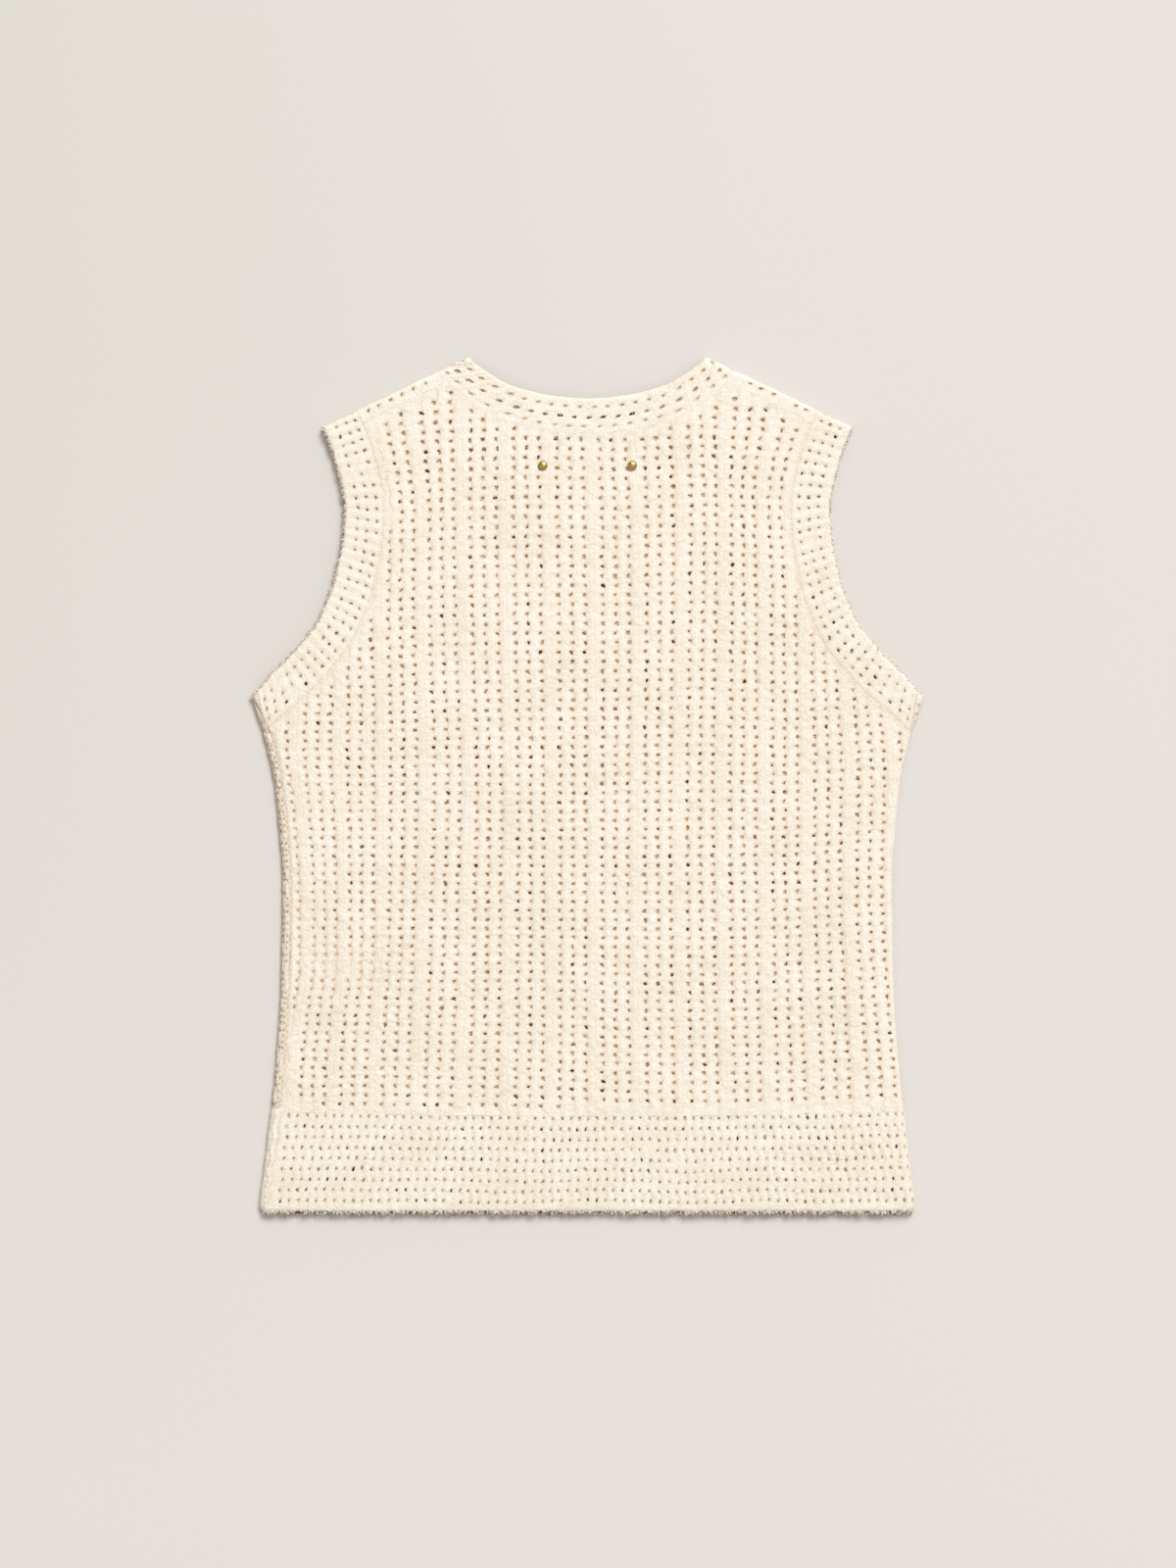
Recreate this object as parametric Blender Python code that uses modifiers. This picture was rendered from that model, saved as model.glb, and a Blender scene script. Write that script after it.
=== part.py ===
"""Sleeveless openwork knit top, laid flat on its front with the back up.

The garment is a tube of two knitted layers. Each layer is a wall of cloth that
keeps a little air from the other one. At the side folds and at the shoulder
folds the wall turns round from one layer to the other. Neck, armholes and hem
are open edges.

Frame: +X to the right of the picture, +Y towards the neck, +Z up, the surface
it lies on is z = 0. Heights are measured from the hem edge towards the neck,
halves from the centre line outwards.
"""

import math
from collections import namedtuple

import bmesh
import bpy
import numpy as np
from mathutils import Vector

# ---------------------------------------------------------------- dimensions
WALL = 0.0030  # thickness of the chunky knit
AIR = 0.0014  # air between the two layers
SEAM = 0.0003  # between neighbouring pieces at every seam
LENGTH = 0.5933  # hem edge to the shoulder's highest point
CENTRE = LENGTH / 2 + 0.0004  # hem edge to the middle of the laid garment
HEM_SIDE = 0.0704  # height of the hem band at the sides
HEM_MIDDLE = 0.0673  # height of the hem band at the centre line
ARM_BAND = 0.0285  # width of the armhole bands
NECK_BAND = 0.0258  # width of the neckband
SIDE_ROLL = 0.0060  # front cloth that rolls round the left side onto the back
SHOULDER_ROLL = 0.0080  # front cloth that rolls over the shoulders onto the back
BLEND = 0.045  # band length over which its ribs swing onto a fold line

BODY_COLUMNS = 20  # cells across a panel
SHOULDER_COLUMNS = 2  # of those, the cells on each shoulder
BODY_ROWS = 9  # cells from the hem band to the underarm seam
ARM_ROWS = 17  # cells along an armhole seam, between its first and last one
BAND_CELLS = 3  # cells across a band
HEM_ROWS = 4  # cells up the hem band

STUD_RADIUS = 0.0034
STUD_FACETS = 10
STUD_HEIGHT_UP = 0.5178  # height of the studs above the hem edge
STUD_HALF = 0.0310  # their distance from the centre line

Outline = namedtuple("Outline", "height half")
Profile = namedtuple("Profile", "radius height")

SIDE = [  # the side, from the hem edge to the underarm point
    Outline(0.0000, 0.2264),
    Outline(0.0080, 0.2271),
    Outline(0.0384, 0.2232),
    Outline(0.0790, 0.2186),
    Outline(0.1200, 0.2149),
    Outline(0.1610, 0.2127),
    Outline(0.2290, 0.2117),
    Outline(0.2560, 0.2132),
    Outline(0.2970, 0.2172),
    Outline(0.3240, 0.2229),
    Outline(0.3380, 0.2271),
    Outline(0.3560, 0.2332),
]
ARMHOLE = [  # the open armhole edge, from the underarm point to the shoulder tip
    Outline(0.3560, 0.2332),
    Outline(0.3710, 0.2210),
    Outline(0.3840, 0.2081),
    Outline(0.3960, 0.1972),
    Outline(0.4083, 0.1877),
    Outline(0.4206, 0.1819),
    Outline(0.4328, 0.1771),
    Outline(0.4457, 0.1737),
    Outline(0.4600, 0.1708),
    Outline(0.4695, 0.1693),
    Outline(0.4872, 0.1683),
    Outline(0.5020, 0.1700),
    Outline(0.5170, 0.1737),
    Outline(0.5310, 0.1782),
    Outline(0.5450, 0.1839),
]
NECK_BACK = [  # the open neck edge at the back, from the centre to the shoulder point
    Outline(0.5647, 0.0000),
    Outline(0.5653, 0.0136),
    Outline(0.5670, 0.0272),
    Outline(0.5699, 0.0408),
    Outline(0.5743, 0.0544),
    Outline(0.5797, 0.0646),
    Outline(0.5865, 0.0748),
    Outline(0.5933, 0.0836),
]
NECK_FRONT = [  # the same at the front, without the shoulder point
    Outline(0.5267, 0.0000),
    Outline(0.5275, 0.0150),
    Outline(0.5318, 0.0340),
    Outline(0.5415, 0.0510),
    Outline(0.5550, 0.0655),
    Outline(0.5720, 0.0760),
]
STUD_PROFILE = [  # a low faceted dome
    Profile(1.00, 0.0000),
    Profile(1.00, 0.0006),
    Profile(0.72, 0.0015),
    Profile(0.32, 0.0020),
]

COLOURS = {  # linear base colour, roughness, metallic
    "body_knit": ((0.88, 0.80, 0.68, 1), 0.92, 0.0),
    "band_knit": ((0.86, 0.78, 0.65, 1), 0.94, 0.0),
    "brass": ((0.62, 0.44, 0.17, 1), 0.32, 1.0),
}

LOW = WALL / 2  # height of the front layer's middle
TURN = (WALL + AIR) / 2  # radius of a fold's middle
MIDDLE = LOW + TURN  # height of the air between the layers
HIGH = LOW + 2 * TURN  # height of the back layer's middle
INSET = WALL / 2 + TURN  # from a fold's outline to where its layers are flat

# a fold's facets from the front layer to the back one: (outwards, upwards) turns.
# The middle facet stands upright, so that pieces can meet halfway up it.
FOLD = [
    (TURN * math.cos(math.radians(a)), TURN * math.sin(math.radians(a)))
    for a in (-90, -54, -18, 18, 54, 90)
]
HALF_FOLD = [(FOLD[2][0], 0.0)]


# ------------------------------------------------------------------- curves
class Curve:
    """A smooth line through a table's rows, found by its length from the start."""

    def __init__(self, points, per_span=24):
        p = np.array(points, float)
        ends = np.vstack([2 * p[0] - p[1], p, 2 * p[-1] - p[-2]])
        fine = []
        for a, b, c, d in zip(ends, ends[1:], ends[2:], ends[3:]):
            for t in np.arange(per_span) / per_span:
                fine.append(
                    0.5
                    * (
                        2 * b
                        + (c - a) * t
                        + (2 * a - 5 * b + 4 * c - d) * t**2
                        + (3 * b - a - 3 * c + d) * t**3
                    )
                )
        self.points = np.vstack([fine, p[-1:]])
        step = np.linalg.norm(np.diff(self.points, axis=0), axis=1)
        self.along = np.concatenate([[0], np.cumsum(step)])
        self.length = float(self.along[-1])

    def at(self, s):
        return np.array([np.interp(s, self.along, self.points[:, k]) for k in (0, 1)])

    def heading(self, s):
        d = self.at(min(s + 1e-3, self.length)) - self.at(max(s - 1e-3, 0))
        return d / np.linalg.norm(d)


def solve(f, low, high):
    """Where an increasing f crosses zero, by halving."""
    for _ in range(50):
        mid = (low + high) / 2
        if f(mid) < 0:
            low = mid
        else:
            high = mid
    return (low + high) / 2


def plane(table):
    """A table's rows as (half, height) points."""
    return [(row.half, row.height) for row in table]


def cut(curve, start, end, n=60):
    return Curve([curve.at(s) for s in np.linspace(start, end, n)], 1)


SIDE_LINE = Curve(plane(SIDE))


def side_half(height):
    """Half the width of the flat part of a layer at that height."""
    order = np.argsort(SIDE_LINE.points[:, 1])
    x = np.interp(height, SIDE_LINE.points[order, 1], SIDE_LINE.points[order, 0])
    return float(x) - INSET


TIP = np.array([ARMHOLE[-1].half, ARMHOLE[-1].height])
NECK_POINT = np.array([NECK_BACK[-1].half, NECK_BACK[-1].height])
TO_NECK = (NECK_POINT - TIP) / np.linalg.norm(NECK_POINT - TIP)
OUTWARD = np.array([-TO_NECK[1], TO_NECK[0]])
OUTWARD = OUTWARD if OUTWARD[1] > 0 else -OUTWARD


def below_shoulder(point):
    """How far a point is below the shoulder's outline."""
    return float((TIP - np.array(point)) @ OUTWARD)


class Band:
    """A band along an open edge: its edge line, its seam line and the ribs between."""

    def __init__(self, edge, width, inward, start_to=None, end_to=None):
        self.edge, self.width, self.inward = edge, width, inward
        self.start_to, self.end_to = start_to, end_to

    def seam(self, s):
        d = self.edge.heading(s)
        rib = np.array([d[1], -d[0]]) * self.inward
        for to, away in (
            (self.start_to, s),
            (self.end_to, self.edge.length - s),
        ):
            if to is not None:
                t = min(max(away / BLEND, 0), 1)
                w = 1 - t * t * (3 - 2 * t)
                rib = rib * (1 - w) + np.array(to) * w
                rib = rib / np.linalg.norm(rib)
        return self.edge.at(s) + rib * self.width

    def across(self, s, n=BAND_CELLS):
        a, b = self.edge.at(s), self.seam(s)
        return [a + (b - a) * k / n for k in range(n + 1)]


# the armhole: from the flat edge beside the side fold to the shoulder fold
whole = Curve(plane(ARMHOLE))
arm_start = solve(lambda s: (SIDE[-1].half - INSET) - whole.at(s)[0], 0, 0.03)
arm_end = solve(
    lambda s: INSET - below_shoulder(whole.at(s)), whole.length - 0.03, whole.length
)
arm_edge = cut(whole, arm_start, arm_end)
first = arm_edge.at(0)
drop = solve(
    lambda d: np.hypot(first[0] - side_half(first[1] - d), d) - ARM_BAND, 0.01, 0.04
)
first_seam = np.array([side_half(first[1] - drop), first[1] - drop])
ARM = Band(
    arm_edge,
    ARM_BAND,
    -1,
    start_to=(first_seam - first) / np.linalg.norm(first_seam - first),
    end_to=TO_NECK,
)

# the neck: from the centre line to the shoulder fold, at the back and the front
whole = Curve(
    [(-x, y) for x, y in reversed(plane(NECK_BACK)[1:3])] + plane(NECK_BACK)
)
middle = solve(lambda s: whole.at(s)[0], 0, 0.06)
neck_end = solve(
    lambda s: INSET - below_shoulder(whole.at(s)), whole.length - 0.03, whole.length
)
NECK = Band(cut(whole, middle, neck_end), NECK_BAND, 1, end_to=-TO_NECK)
whole = Curve(
    [(-x, y) for x, y in reversed(plane(NECK_FRONT)[1:3])]
    + plane(NECK_FRONT)
    + [tuple(NECK.edge.at(NECK.edge.length))]
)
middle = solve(lambda s: whole.at(s)[0], 0, 0.09)
NECK_F = Band(cut(whole, middle, whole.length), NECK_BAND, 1, end_to=-TO_NECK)

# where along the armhole and the neck the rolled strips' seams end
arm_roll = solve(
    lambda s: (ARM.seam(0)[0] - SIDE_ROLL) - ARM.seam(s)[0], 0, ARM.edge.length / 3
)
arm_flap = solve(
    lambda s: INSET + SHOULDER_ROLL - below_shoulder(ARM.seam(s)),
    ARM.edge.length / 2,
    ARM.edge.length,
)
neck_flap = solve(
    lambda s: INSET + SHOULDER_ROLL - below_shoulder(NECK.seam(s)),
    NECK.edge.length / 2,
    NECK.edge.length,
)
ARM_STEPS = [
    0.0,
    arm_roll,
    *np.linspace(arm_roll, arm_flap, ARM_ROWS + 1)[1:],
    ARM.edge.length,
]
NECK_CELLS = (BODY_COLUMNS - 2 * SHOULDER_COLUMNS) // 2
NECK_STEPS = [*np.linspace(0, neck_flap, NECK_CELLS + 1), NECK.edge.length]
NECK_F_STEPS = list(np.linspace(0, NECK_F.edge.length, NECK_CELLS + 1))
ARM_SEAM = [ARM.seam(s) for s in ARM_STEPS]
BODY_HEIGHTS = list(np.linspace(HEM_SIDE, ARM_SEAM[0][1], BODY_ROWS + 1))


# ------------------------------------------------------------------- cloth
class Cloth:
    """The middle of a piece of cloth, as open faces between named grid points."""

    def __init__(self):
        self.points, self.index, self.faces, self.round = [], {}, [], []

    def put(self, key, point):
        if key not in self.index:
            self.index[key] = len(self.points)
            self.points.append((point[0], point[1] - CENTRE, point[2]))
        return key

    def face(self, *keys, curved=False):
        self.faces.append([self.index[k] for k in keys])
        self.round.append(curved)

    def cells(self, rows, curved=False):
        """Faces between rows of keys of one length."""
        for lower, upper in zip(rows, rows[1:]):
            for a, b, c, d in zip(lower, lower[1:], upper[1:], upper):
                self.face(a, b, c, d, curved=curved)


def hem_top(fraction):
    """The height of the hem band's seam, over -1..1 across the layer."""
    return HEM_MIDDLE + (HEM_SIDE - HEM_MIDDLE) * fraction**2


def shoulder_points(a, b):
    """Points on a shoulder between the neck's and the armhole's seam."""
    return [a + (b - a) * k / SHOULDER_COLUMNS for k in range(SHOULDER_COLUMNS + 1)]


def mirrored(points):
    """A line's points from the left armhole to the right one, from its right half."""
    left = [np.array((-p[0], p[1])) for p in reversed(points[1:])]
    return left + list(points)


def panel(cloth, z, left, right, top, late):
    """A flat panel's grid: its rows run between the left and the right line, its
    columns from the hem seam to the top line. The columns start evenly spaced and
    gather to the top line's own points, the later the higher the power late is.
    Returns the rows of keys."""
    base, peak = left[0][1], left[-1][1]
    rows = []
    for j, (a, b) in enumerate(zip(left, right)):
        t = (a[1] - base) / (peak - base)
        row = []
        for i, end in enumerate(top):
            even = i / (len(top) - 1)
            own = (end[0] - top[0][0]) / (top[-1][0] - top[0][0])
            share = even + (own - even) * t**late
            x = a[0] + (b[0] - a[0]) * share
            foot = hem_top(2 * even - 1)
            row.append(cloth.put((z, j, i), (x, foot + (end[1] - foot) * t, z)))
        rows.append(row)
    cloth.cells(rows)
    return rows


def side_fold(cloth, rows, heights, sign, turns):
    """A fold along a side from the flat grid's outer keys. Returns its last column."""
    columns = [rows]
    for k, (out, up) in enumerate(turns):
        columns.append(
            [
                cloth.put(
                    ("side", sign, j, k),
                    (sign * (side_half(h) + out), h, MIDDLE + up),
                )
                for j, h in enumerate(heights)
            ]
        )
    cloth.cells(columns, curved=True)
    return columns[-1]


def front_panel():
    """The front layer with its roll round the left side and over the shoulders."""
    cloth = Cloth()
    right = [(side_half(h), h) for h in BODY_HEIGHTS] + [tuple(p) for p in ARM_SEAM[1:]]
    left = [(-x, h) for x, h in right]
    neck = [NECK_F.seam(s) for s in NECK_F_STEPS]
    top = mirrored(neck + shoulder_points(neck[-1], ARM_SEAM[-1])[1:])
    rows = panel(cloth, LOW, left, right, top, 6)
    last = len(rows) - 1
    # right side: to the middle of the fold
    outer = [row[-1] for row in rows[: BODY_ROWS + 1]]
    side_fold(cloth, outer, BODY_HEIGHTS, 1, FOLD[1:3] + HALF_FOLD)
    # left side: all the way round, and a strip on the back
    outer = [row[0] for row in rows[: BODY_ROWS + 1]]
    turned = side_fold(cloth, outer, BODY_HEIGHTS, -1, FOLD[1:])
    strip = [
        cloth.put(("strip", j), (-side_half(h) + SIDE_ROLL, h, HIGH))
        for j, h in enumerate(BODY_HEIGHTS)
    ]
    cloth.cells([turned, strip])
    tip = cloth.put("strip tip", (-ARM_SEAM[1][0], ARM_SEAM[1][1], HIGH))
    cloth.face(turned[-1], strip[-1], tip)
    # shoulders: over the fold, and a strip on the back
    on_back = shoulder_points(NECK.seam(neck_flap), ARM_SEAM[-2])
    for sign in (-1, 1):
        keys = rows[last][-SHOULDER_COLUMNS - 1 :]
        line = top[-SHOULDER_COLUMNS - 1 :]
        if sign < 0:
            keys = list(reversed(rows[last][: SHOULDER_COLUMNS + 1]))
        bands = [keys]
        for k, (out, up) in enumerate(FOLD[1:]):
            line_out = [p + OUTWARD * out for p in line]
            bands.append(
                [
                    cloth.put(("over", sign, k, i), (sign * p[0], p[1], MIDDLE + up))
                    for i, p in enumerate(line_out)
                ]
            )
        cloth.cells(bands, curved=True)
        flap = [
            cloth.put(("flap", sign, i), (sign * p[0], p[1], HIGH))
            for i, p in enumerate(on_back)
        ]
        cloth.cells([bands[-1], flap])
    return cloth


def back_panel():
    """The back layer, which takes the right side's fold to its middle."""
    cloth = Cloth()
    seams = [tuple(p) for p in ARM_SEAM[1:-1]]
    right = [(side_half(h), h) for h in BODY_HEIGHTS] + seams
    left = [(SIDE_ROLL - side_half(h), h) for h in BODY_HEIGHTS]
    left += [(-x, h) for x, h in seams]
    neck = [NECK.seam(s) for s in NECK_STEPS[:-1]]
    top = mirrored(neck + shoulder_points(neck[-1], ARM_SEAM[-2])[1:])
    rows = panel(cloth, HIGH, left, right, top, 2)
    outer = [row[-1] for row in rows[: BODY_ROWS + 1]]
    side_fold(cloth, outer, BODY_HEIGHTS, 1, FOLD[-2:-4:-1] + HALF_FOLD)
    return cloth


def ring(stations):
    """A band that closes on itself, from its stations' points across."""
    cloth = Cloth()
    rows = [
        [cloth.put((j, i), p) for i, p in enumerate(points)]
        for j, points in enumerate(stations)
    ]
    cloth.cells(rows + rows[:1])
    return cloth


def turned_over(points, sign, outward):
    """The stations between the layers where a band goes round a fold, top first."""
    return [
        [
            (
                sign * (p[0] + outward[0] * out),
                p[1] + outward[1] * out,
                MIDDLE + up,
            )
            for p in points
        ]
        for out, up in FOLD[-2:0:-1]
    ]


def armhole_band(sign):
    """Back run, over the shoulder, front run, round the underarm."""
    flat = [ARM.across(s) for s in ARM_STEPS]
    flat[0][-1] = first_seam
    high = [[(sign * x, y, HIGH) for x, y in points] for points in flat]
    low = [[(sign * x, y, LOW) for x, y in points] for points in flat]
    shoulder = turned_over(flat[-1], sign, OUTWARD)
    underarm = turned_over(flat[0], sign, (1.0, 0.0))
    return ring(high + shoulder + low[::-1] + underarm[::-1])


def neckband():
    """Back run from left to right, over the shoulder, front run, and back over."""
    back = [NECK.across(s) for s in NECK_STEPS]
    front = [NECK_F.across(s) for s in NECK_F_STEPS]
    front[-1] = back[-1]
    high = [[(-x, y, HIGH) for x, y in p] for p in back[:0:-1]]
    high += [[(x, y, HIGH) for x, y in p] for p in back]
    low = [[(x, y, LOW) for x, y in p] for p in front[::-1]]
    low += [[(-x, y, LOW) for x, y in p] for p in front[1:]]
    return ring(
        high
        + turned_over(back[-1], 1, OUTWARD)
        + low
        + turned_over(back[-1], -1, OUTWARD)[::-1]
    )


def hem_band():
    """A tube round the bottom, from the hem edge to the body's seam."""
    even = [2 * k / BODY_COLUMNS - 1 for k in range(BODY_COLUMNS + 1)]
    section = [(share, 0.0, LOW) for share in even]  # share across, turn out, height
    section += [(1.0, out, MIDDLE + up) for out, up in FOLD[1:-1]]
    section += [(-share, 0.0, HIGH) for share in even]
    section += [(-1.0, out, MIDDLE + up) for out, up in FOLD[-2:0:-1]]
    stations = []
    for share, out, z in section:
        points = []
        for j in range(HEM_ROWS + 1):
            h = hem_top(share) * j / HEM_ROWS
            edge = side_half(HEM_SIDE * j / HEM_ROWS)
            points.append((share * edge + math.copysign(out, share), h, z))
        stations.append(points)
    return ring(stations)


def draw_in(bm, amount):
    """Moves every open edge into its own cloth by that amount."""
    moves = {}
    for e in bm.edges:
        if len(e.link_faces) != 1:
            continue
        face = e.link_faces[0]
        along = (e.verts[1].co - e.verts[0].co).normalized()
        into = face.normal.cross(along)
        if into.dot(face.calc_center_median() - e.verts[0].co) < 0:
            into.negate()
        for v in e.verts:
            moves.setdefault(v, []).append(into)
    for v, ways in moves.items():
        mean = sum(ways, Vector()).normalized()
        v.co += mean * amount / max(0.5, mean.dot(ways[0]))


# ----------------------------------------------------------------- objects
for old in list(bpy.data.objects):
    bpy.data.objects.remove(old, do_unlink=True)
scene = bpy.context.scene
scene.unit_settings.system = "METRIC"
scene.unit_settings.length_unit = "MILLIMETERS"
group = bpy.data.collections.new("knit_top")
scene.collection.children.link(group)
root = bpy.data.objects.new("knit_top", None)
root.empty_display_size = 0.05
group.objects.link(root)


def material(name, kind):
    colour, rough, metallic = COLOURS[kind]
    m = bpy.data.materials.new(name)
    m.use_nodes = True
    m.diffuse_color = colour
    shader = m.node_tree.nodes["Principled BSDF"]
    shader.inputs["Base Color"].default_value = colour
    shader.inputs["Roughness"].default_value = rough
    shader.inputs["Metallic"].default_value = metallic
    return m


def add(name, bm, slot, kind, at):
    """An object whose own origin is at that place."""
    for v in bm.verts:
        v.co -= Vector(at)
    mesh = bpy.data.meshes.new(name)
    bm.to_mesh(mesh)
    bm.free()
    obj = bpy.data.objects.new(name, mesh)
    obj.location = at
    obj.parent = root
    mesh.materials.append(material(slot, kind))
    group.objects.link(obj)
    return obj


def sew(name, cloth, slot, kind, at):
    """A piece of cloth: its middle as an open surface, with the wall's thickness."""
    bm = bmesh.new()
    verts = [bm.verts.new(p) for p in cloth.points]
    for corners, curved in zip(cloth.faces, cloth.round):
        f = bm.faces.new([verts[i] for i in corners])
        f.smooth = curved
    bmesh.ops.recalc_face_normals(bm, faces=bm.faces[:])
    bm.normal_update()
    draw_in(bm, SEAM / 2)
    bm.normal_update()
    obj = add(name, bm, slot, kind, at)
    wall = obj.modifiers.new("wall", "SOLIDIFY")
    wall.thickness = WALL
    wall.offset = 0
    wall.use_even_offset = True
    wall.use_rim = True
    return obj


def stud(name, sign):
    """A small faceted dome: its profile, top to bottom, turned by a Screw."""
    bm = bmesh.new()
    line = [
        bm.verts.new((p.radius * STUD_RADIUS, 0, p.height))
        for p in reversed(STUD_PROFILE)
    ]
    line = [bm.verts.new((0, 0, STUD_PROFILE[-1].height)), *line]
    line.append(bm.verts.new((0, 0, 0)))
    for pair in zip(line, line[1:]):
        bm.edges.new(pair)
    at = (sign * STUD_HALF, STUD_HEIGHT_UP - CENTRE, HIGH + WALL / 2 + SEAM)
    for v in bm.verts:
        v.co += Vector(at)
    obj = add(name, bm, name + "_brass", "brass", at)
    turn = obj.modifiers.new("turn", "SCREW")
    turn.steps = turn.render_steps = STUD_FACETS
    turn.use_merge_vertices = True
    turn.merge_threshold = 0.00001
    turn.use_smooth_shade = False
    return obj


sew("front_panel", front_panel(), "front_knit", "body_knit", (0, HEM_SIDE - CENTRE, LOW))
sew("back_panel", back_panel(), "back_knit", "body_knit", (0, HEM_SIDE - CENTRE, HIGH))
sew("hem_band", hem_band(), "hem_knit", "band_knit", (0, -CENTRE, MIDDLE))
sew(
    "neckband", neckband(), "neck_knit", "band_knit", (0, NECK_POINT[1] - CENTRE, MIDDLE)
)
for label, sign in (("left", -1), ("right", 1)):
    sew(
        f"armhole_band_{label}",
        armhole_band(sign),
        f"armhole_{label}_knit",
        "band_knit",
        (sign * TIP[0], TIP[1] - CENTRE, MIDDLE),
    )
stud("stud_left", -1)
stud("stud_right", 1)
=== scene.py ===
import math
from collections import namedtuple

import bpy
import numpy as np
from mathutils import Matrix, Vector


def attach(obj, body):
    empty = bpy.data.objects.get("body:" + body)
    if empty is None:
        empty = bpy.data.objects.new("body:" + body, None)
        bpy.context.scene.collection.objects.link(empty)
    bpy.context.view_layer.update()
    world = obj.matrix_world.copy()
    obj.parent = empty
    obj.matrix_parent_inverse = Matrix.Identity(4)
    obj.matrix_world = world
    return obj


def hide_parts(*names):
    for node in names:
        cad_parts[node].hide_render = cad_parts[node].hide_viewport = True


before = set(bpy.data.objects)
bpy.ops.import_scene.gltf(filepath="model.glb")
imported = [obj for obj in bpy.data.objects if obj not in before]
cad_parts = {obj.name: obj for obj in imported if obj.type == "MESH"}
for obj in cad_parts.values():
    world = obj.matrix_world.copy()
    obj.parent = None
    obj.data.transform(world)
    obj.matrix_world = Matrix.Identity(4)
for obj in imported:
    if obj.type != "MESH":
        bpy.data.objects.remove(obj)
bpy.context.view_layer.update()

# ---------------------------------------------------------------------------
# Sizes, in millimetres. Heights go from the hem edge towards the neck, halves
# from the centre line outwards, z up from the surface that the top lies on.
# The garment shows its back. Its outline is the part's own.
# ---------------------------------------------------------------------------
MM = 0.001
LENGTH = 593.3
CENTRE = LENGTH / 2 + 0.4
TURN = 3.7  # radius of the outer surface at a fold
MIDDLE = 3.7  # height of the folds' axes
HIGH = 7.4  # outer surface of the back layer
HEM_SIDE, HEM_MIDDLE = 70.4, 67.3
ARM_BAND, NECK_BAND = 28.5, 25.8
SIDE_ROLL, SHOULDER_ROLL = 6.0, 8.0
BLEND = 45.0
ROUND = 1.5  # radius of the cloth's open edges
FOLD = math.pi * TURN  # the way over a fold, from layer to layer

Outline = namedtuple("Outline", "height half")
SIDE = [
    Outline(0.0, 226.4),
    Outline(8.0, 227.1),
    Outline(38.4, 223.2),
    Outline(79.0, 218.6),
    Outline(120.0, 214.9),
    Outline(161.0, 212.7),
    Outline(229.0, 211.7),
    Outline(256.0, 213.2),
    Outline(297.0, 217.2),
    Outline(324.0, 222.9),
    Outline(338.0, 227.1),
    Outline(356.0, 233.2),
]
ARMHOLE = [
    Outline(356.0, 233.2),
    Outline(371.0, 221.0),
    Outline(384.0, 208.1),
    Outline(396.0, 197.2),
    Outline(408.3, 187.7),
    Outline(420.6, 181.9),
    Outline(432.8, 177.1),
    Outline(445.7, 173.7),
    Outline(460.0, 170.8),
    Outline(469.5, 169.3),
    Outline(487.2, 168.3),
    Outline(502.0, 170.0),
    Outline(517.0, 173.7),
    Outline(531.0, 178.2),
    Outline(545.0, 183.9),
]
NECK_BACK = [
    Outline(564.7, 0.0),
    Outline(565.3, 13.6),
    Outline(567.0, 27.2),
    Outline(569.9, 40.8),
    Outline(574.3, 54.4),
    Outline(579.7, 64.6),
    Outline(586.5, 74.8),
    Outline(593.3, 83.6),
]
NECK_FRONT = [
    Outline(526.7, 0.0),
    Outline(527.5, 15.0),
    Outline(531.8, 34.0),
    Outline(541.5, 51.0),
    Outline(555.0, 65.5),
    Outline(572.0, 76.0),
]

# the openwork of the body: three columns of holes, a solid rib, and so on
GROUP = 30.06  # from one group of columns to the next
COLUMN = 8.98  # between the columns of a group
PHASE = 19.45  # from the centre line to the first group's middle column
ROW = 6.344  # between the holes of a column
FIRST_ROW = 75.5
ROWS = 79
ZIGZAG = 0.5  # how far the rows swing to the left and right in turn
# How the columns spread. They keep their spacing up to a distance from the centre
# line, and are drawn in beyond it, by a share on the left and one on the right.
Spread = namedtuple("Spread", "height kept left right")
SPREAD = [
    Spread(0.0, 126.0, 1.02, 1.06),
    Spread(92.0, 126.0, 0.99, 1.06),
    Spread(161.0, 126.0, 0.89, 0.98),
    Spread(283.0, 126.0, 0.95, 0.96),
    Spread(324.0, 126.0, 0.98, 0.98),
    Spread(365.0, 120.0, 0.96, 0.96),
    Spread(432.0, 86.0, 0.96, 0.96),
    Spread(487.0, 82.0, 0.94, 0.94),
    Spread(501.0, 82.0, 0.96, 0.96),
    Spread(521.0, 82.0, 1.07, 1.07),
    Spread(541.0, 82.0, 1.18, 1.18),
    Spread(594.0, 82.0, 1.30, 1.30),
]
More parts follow.
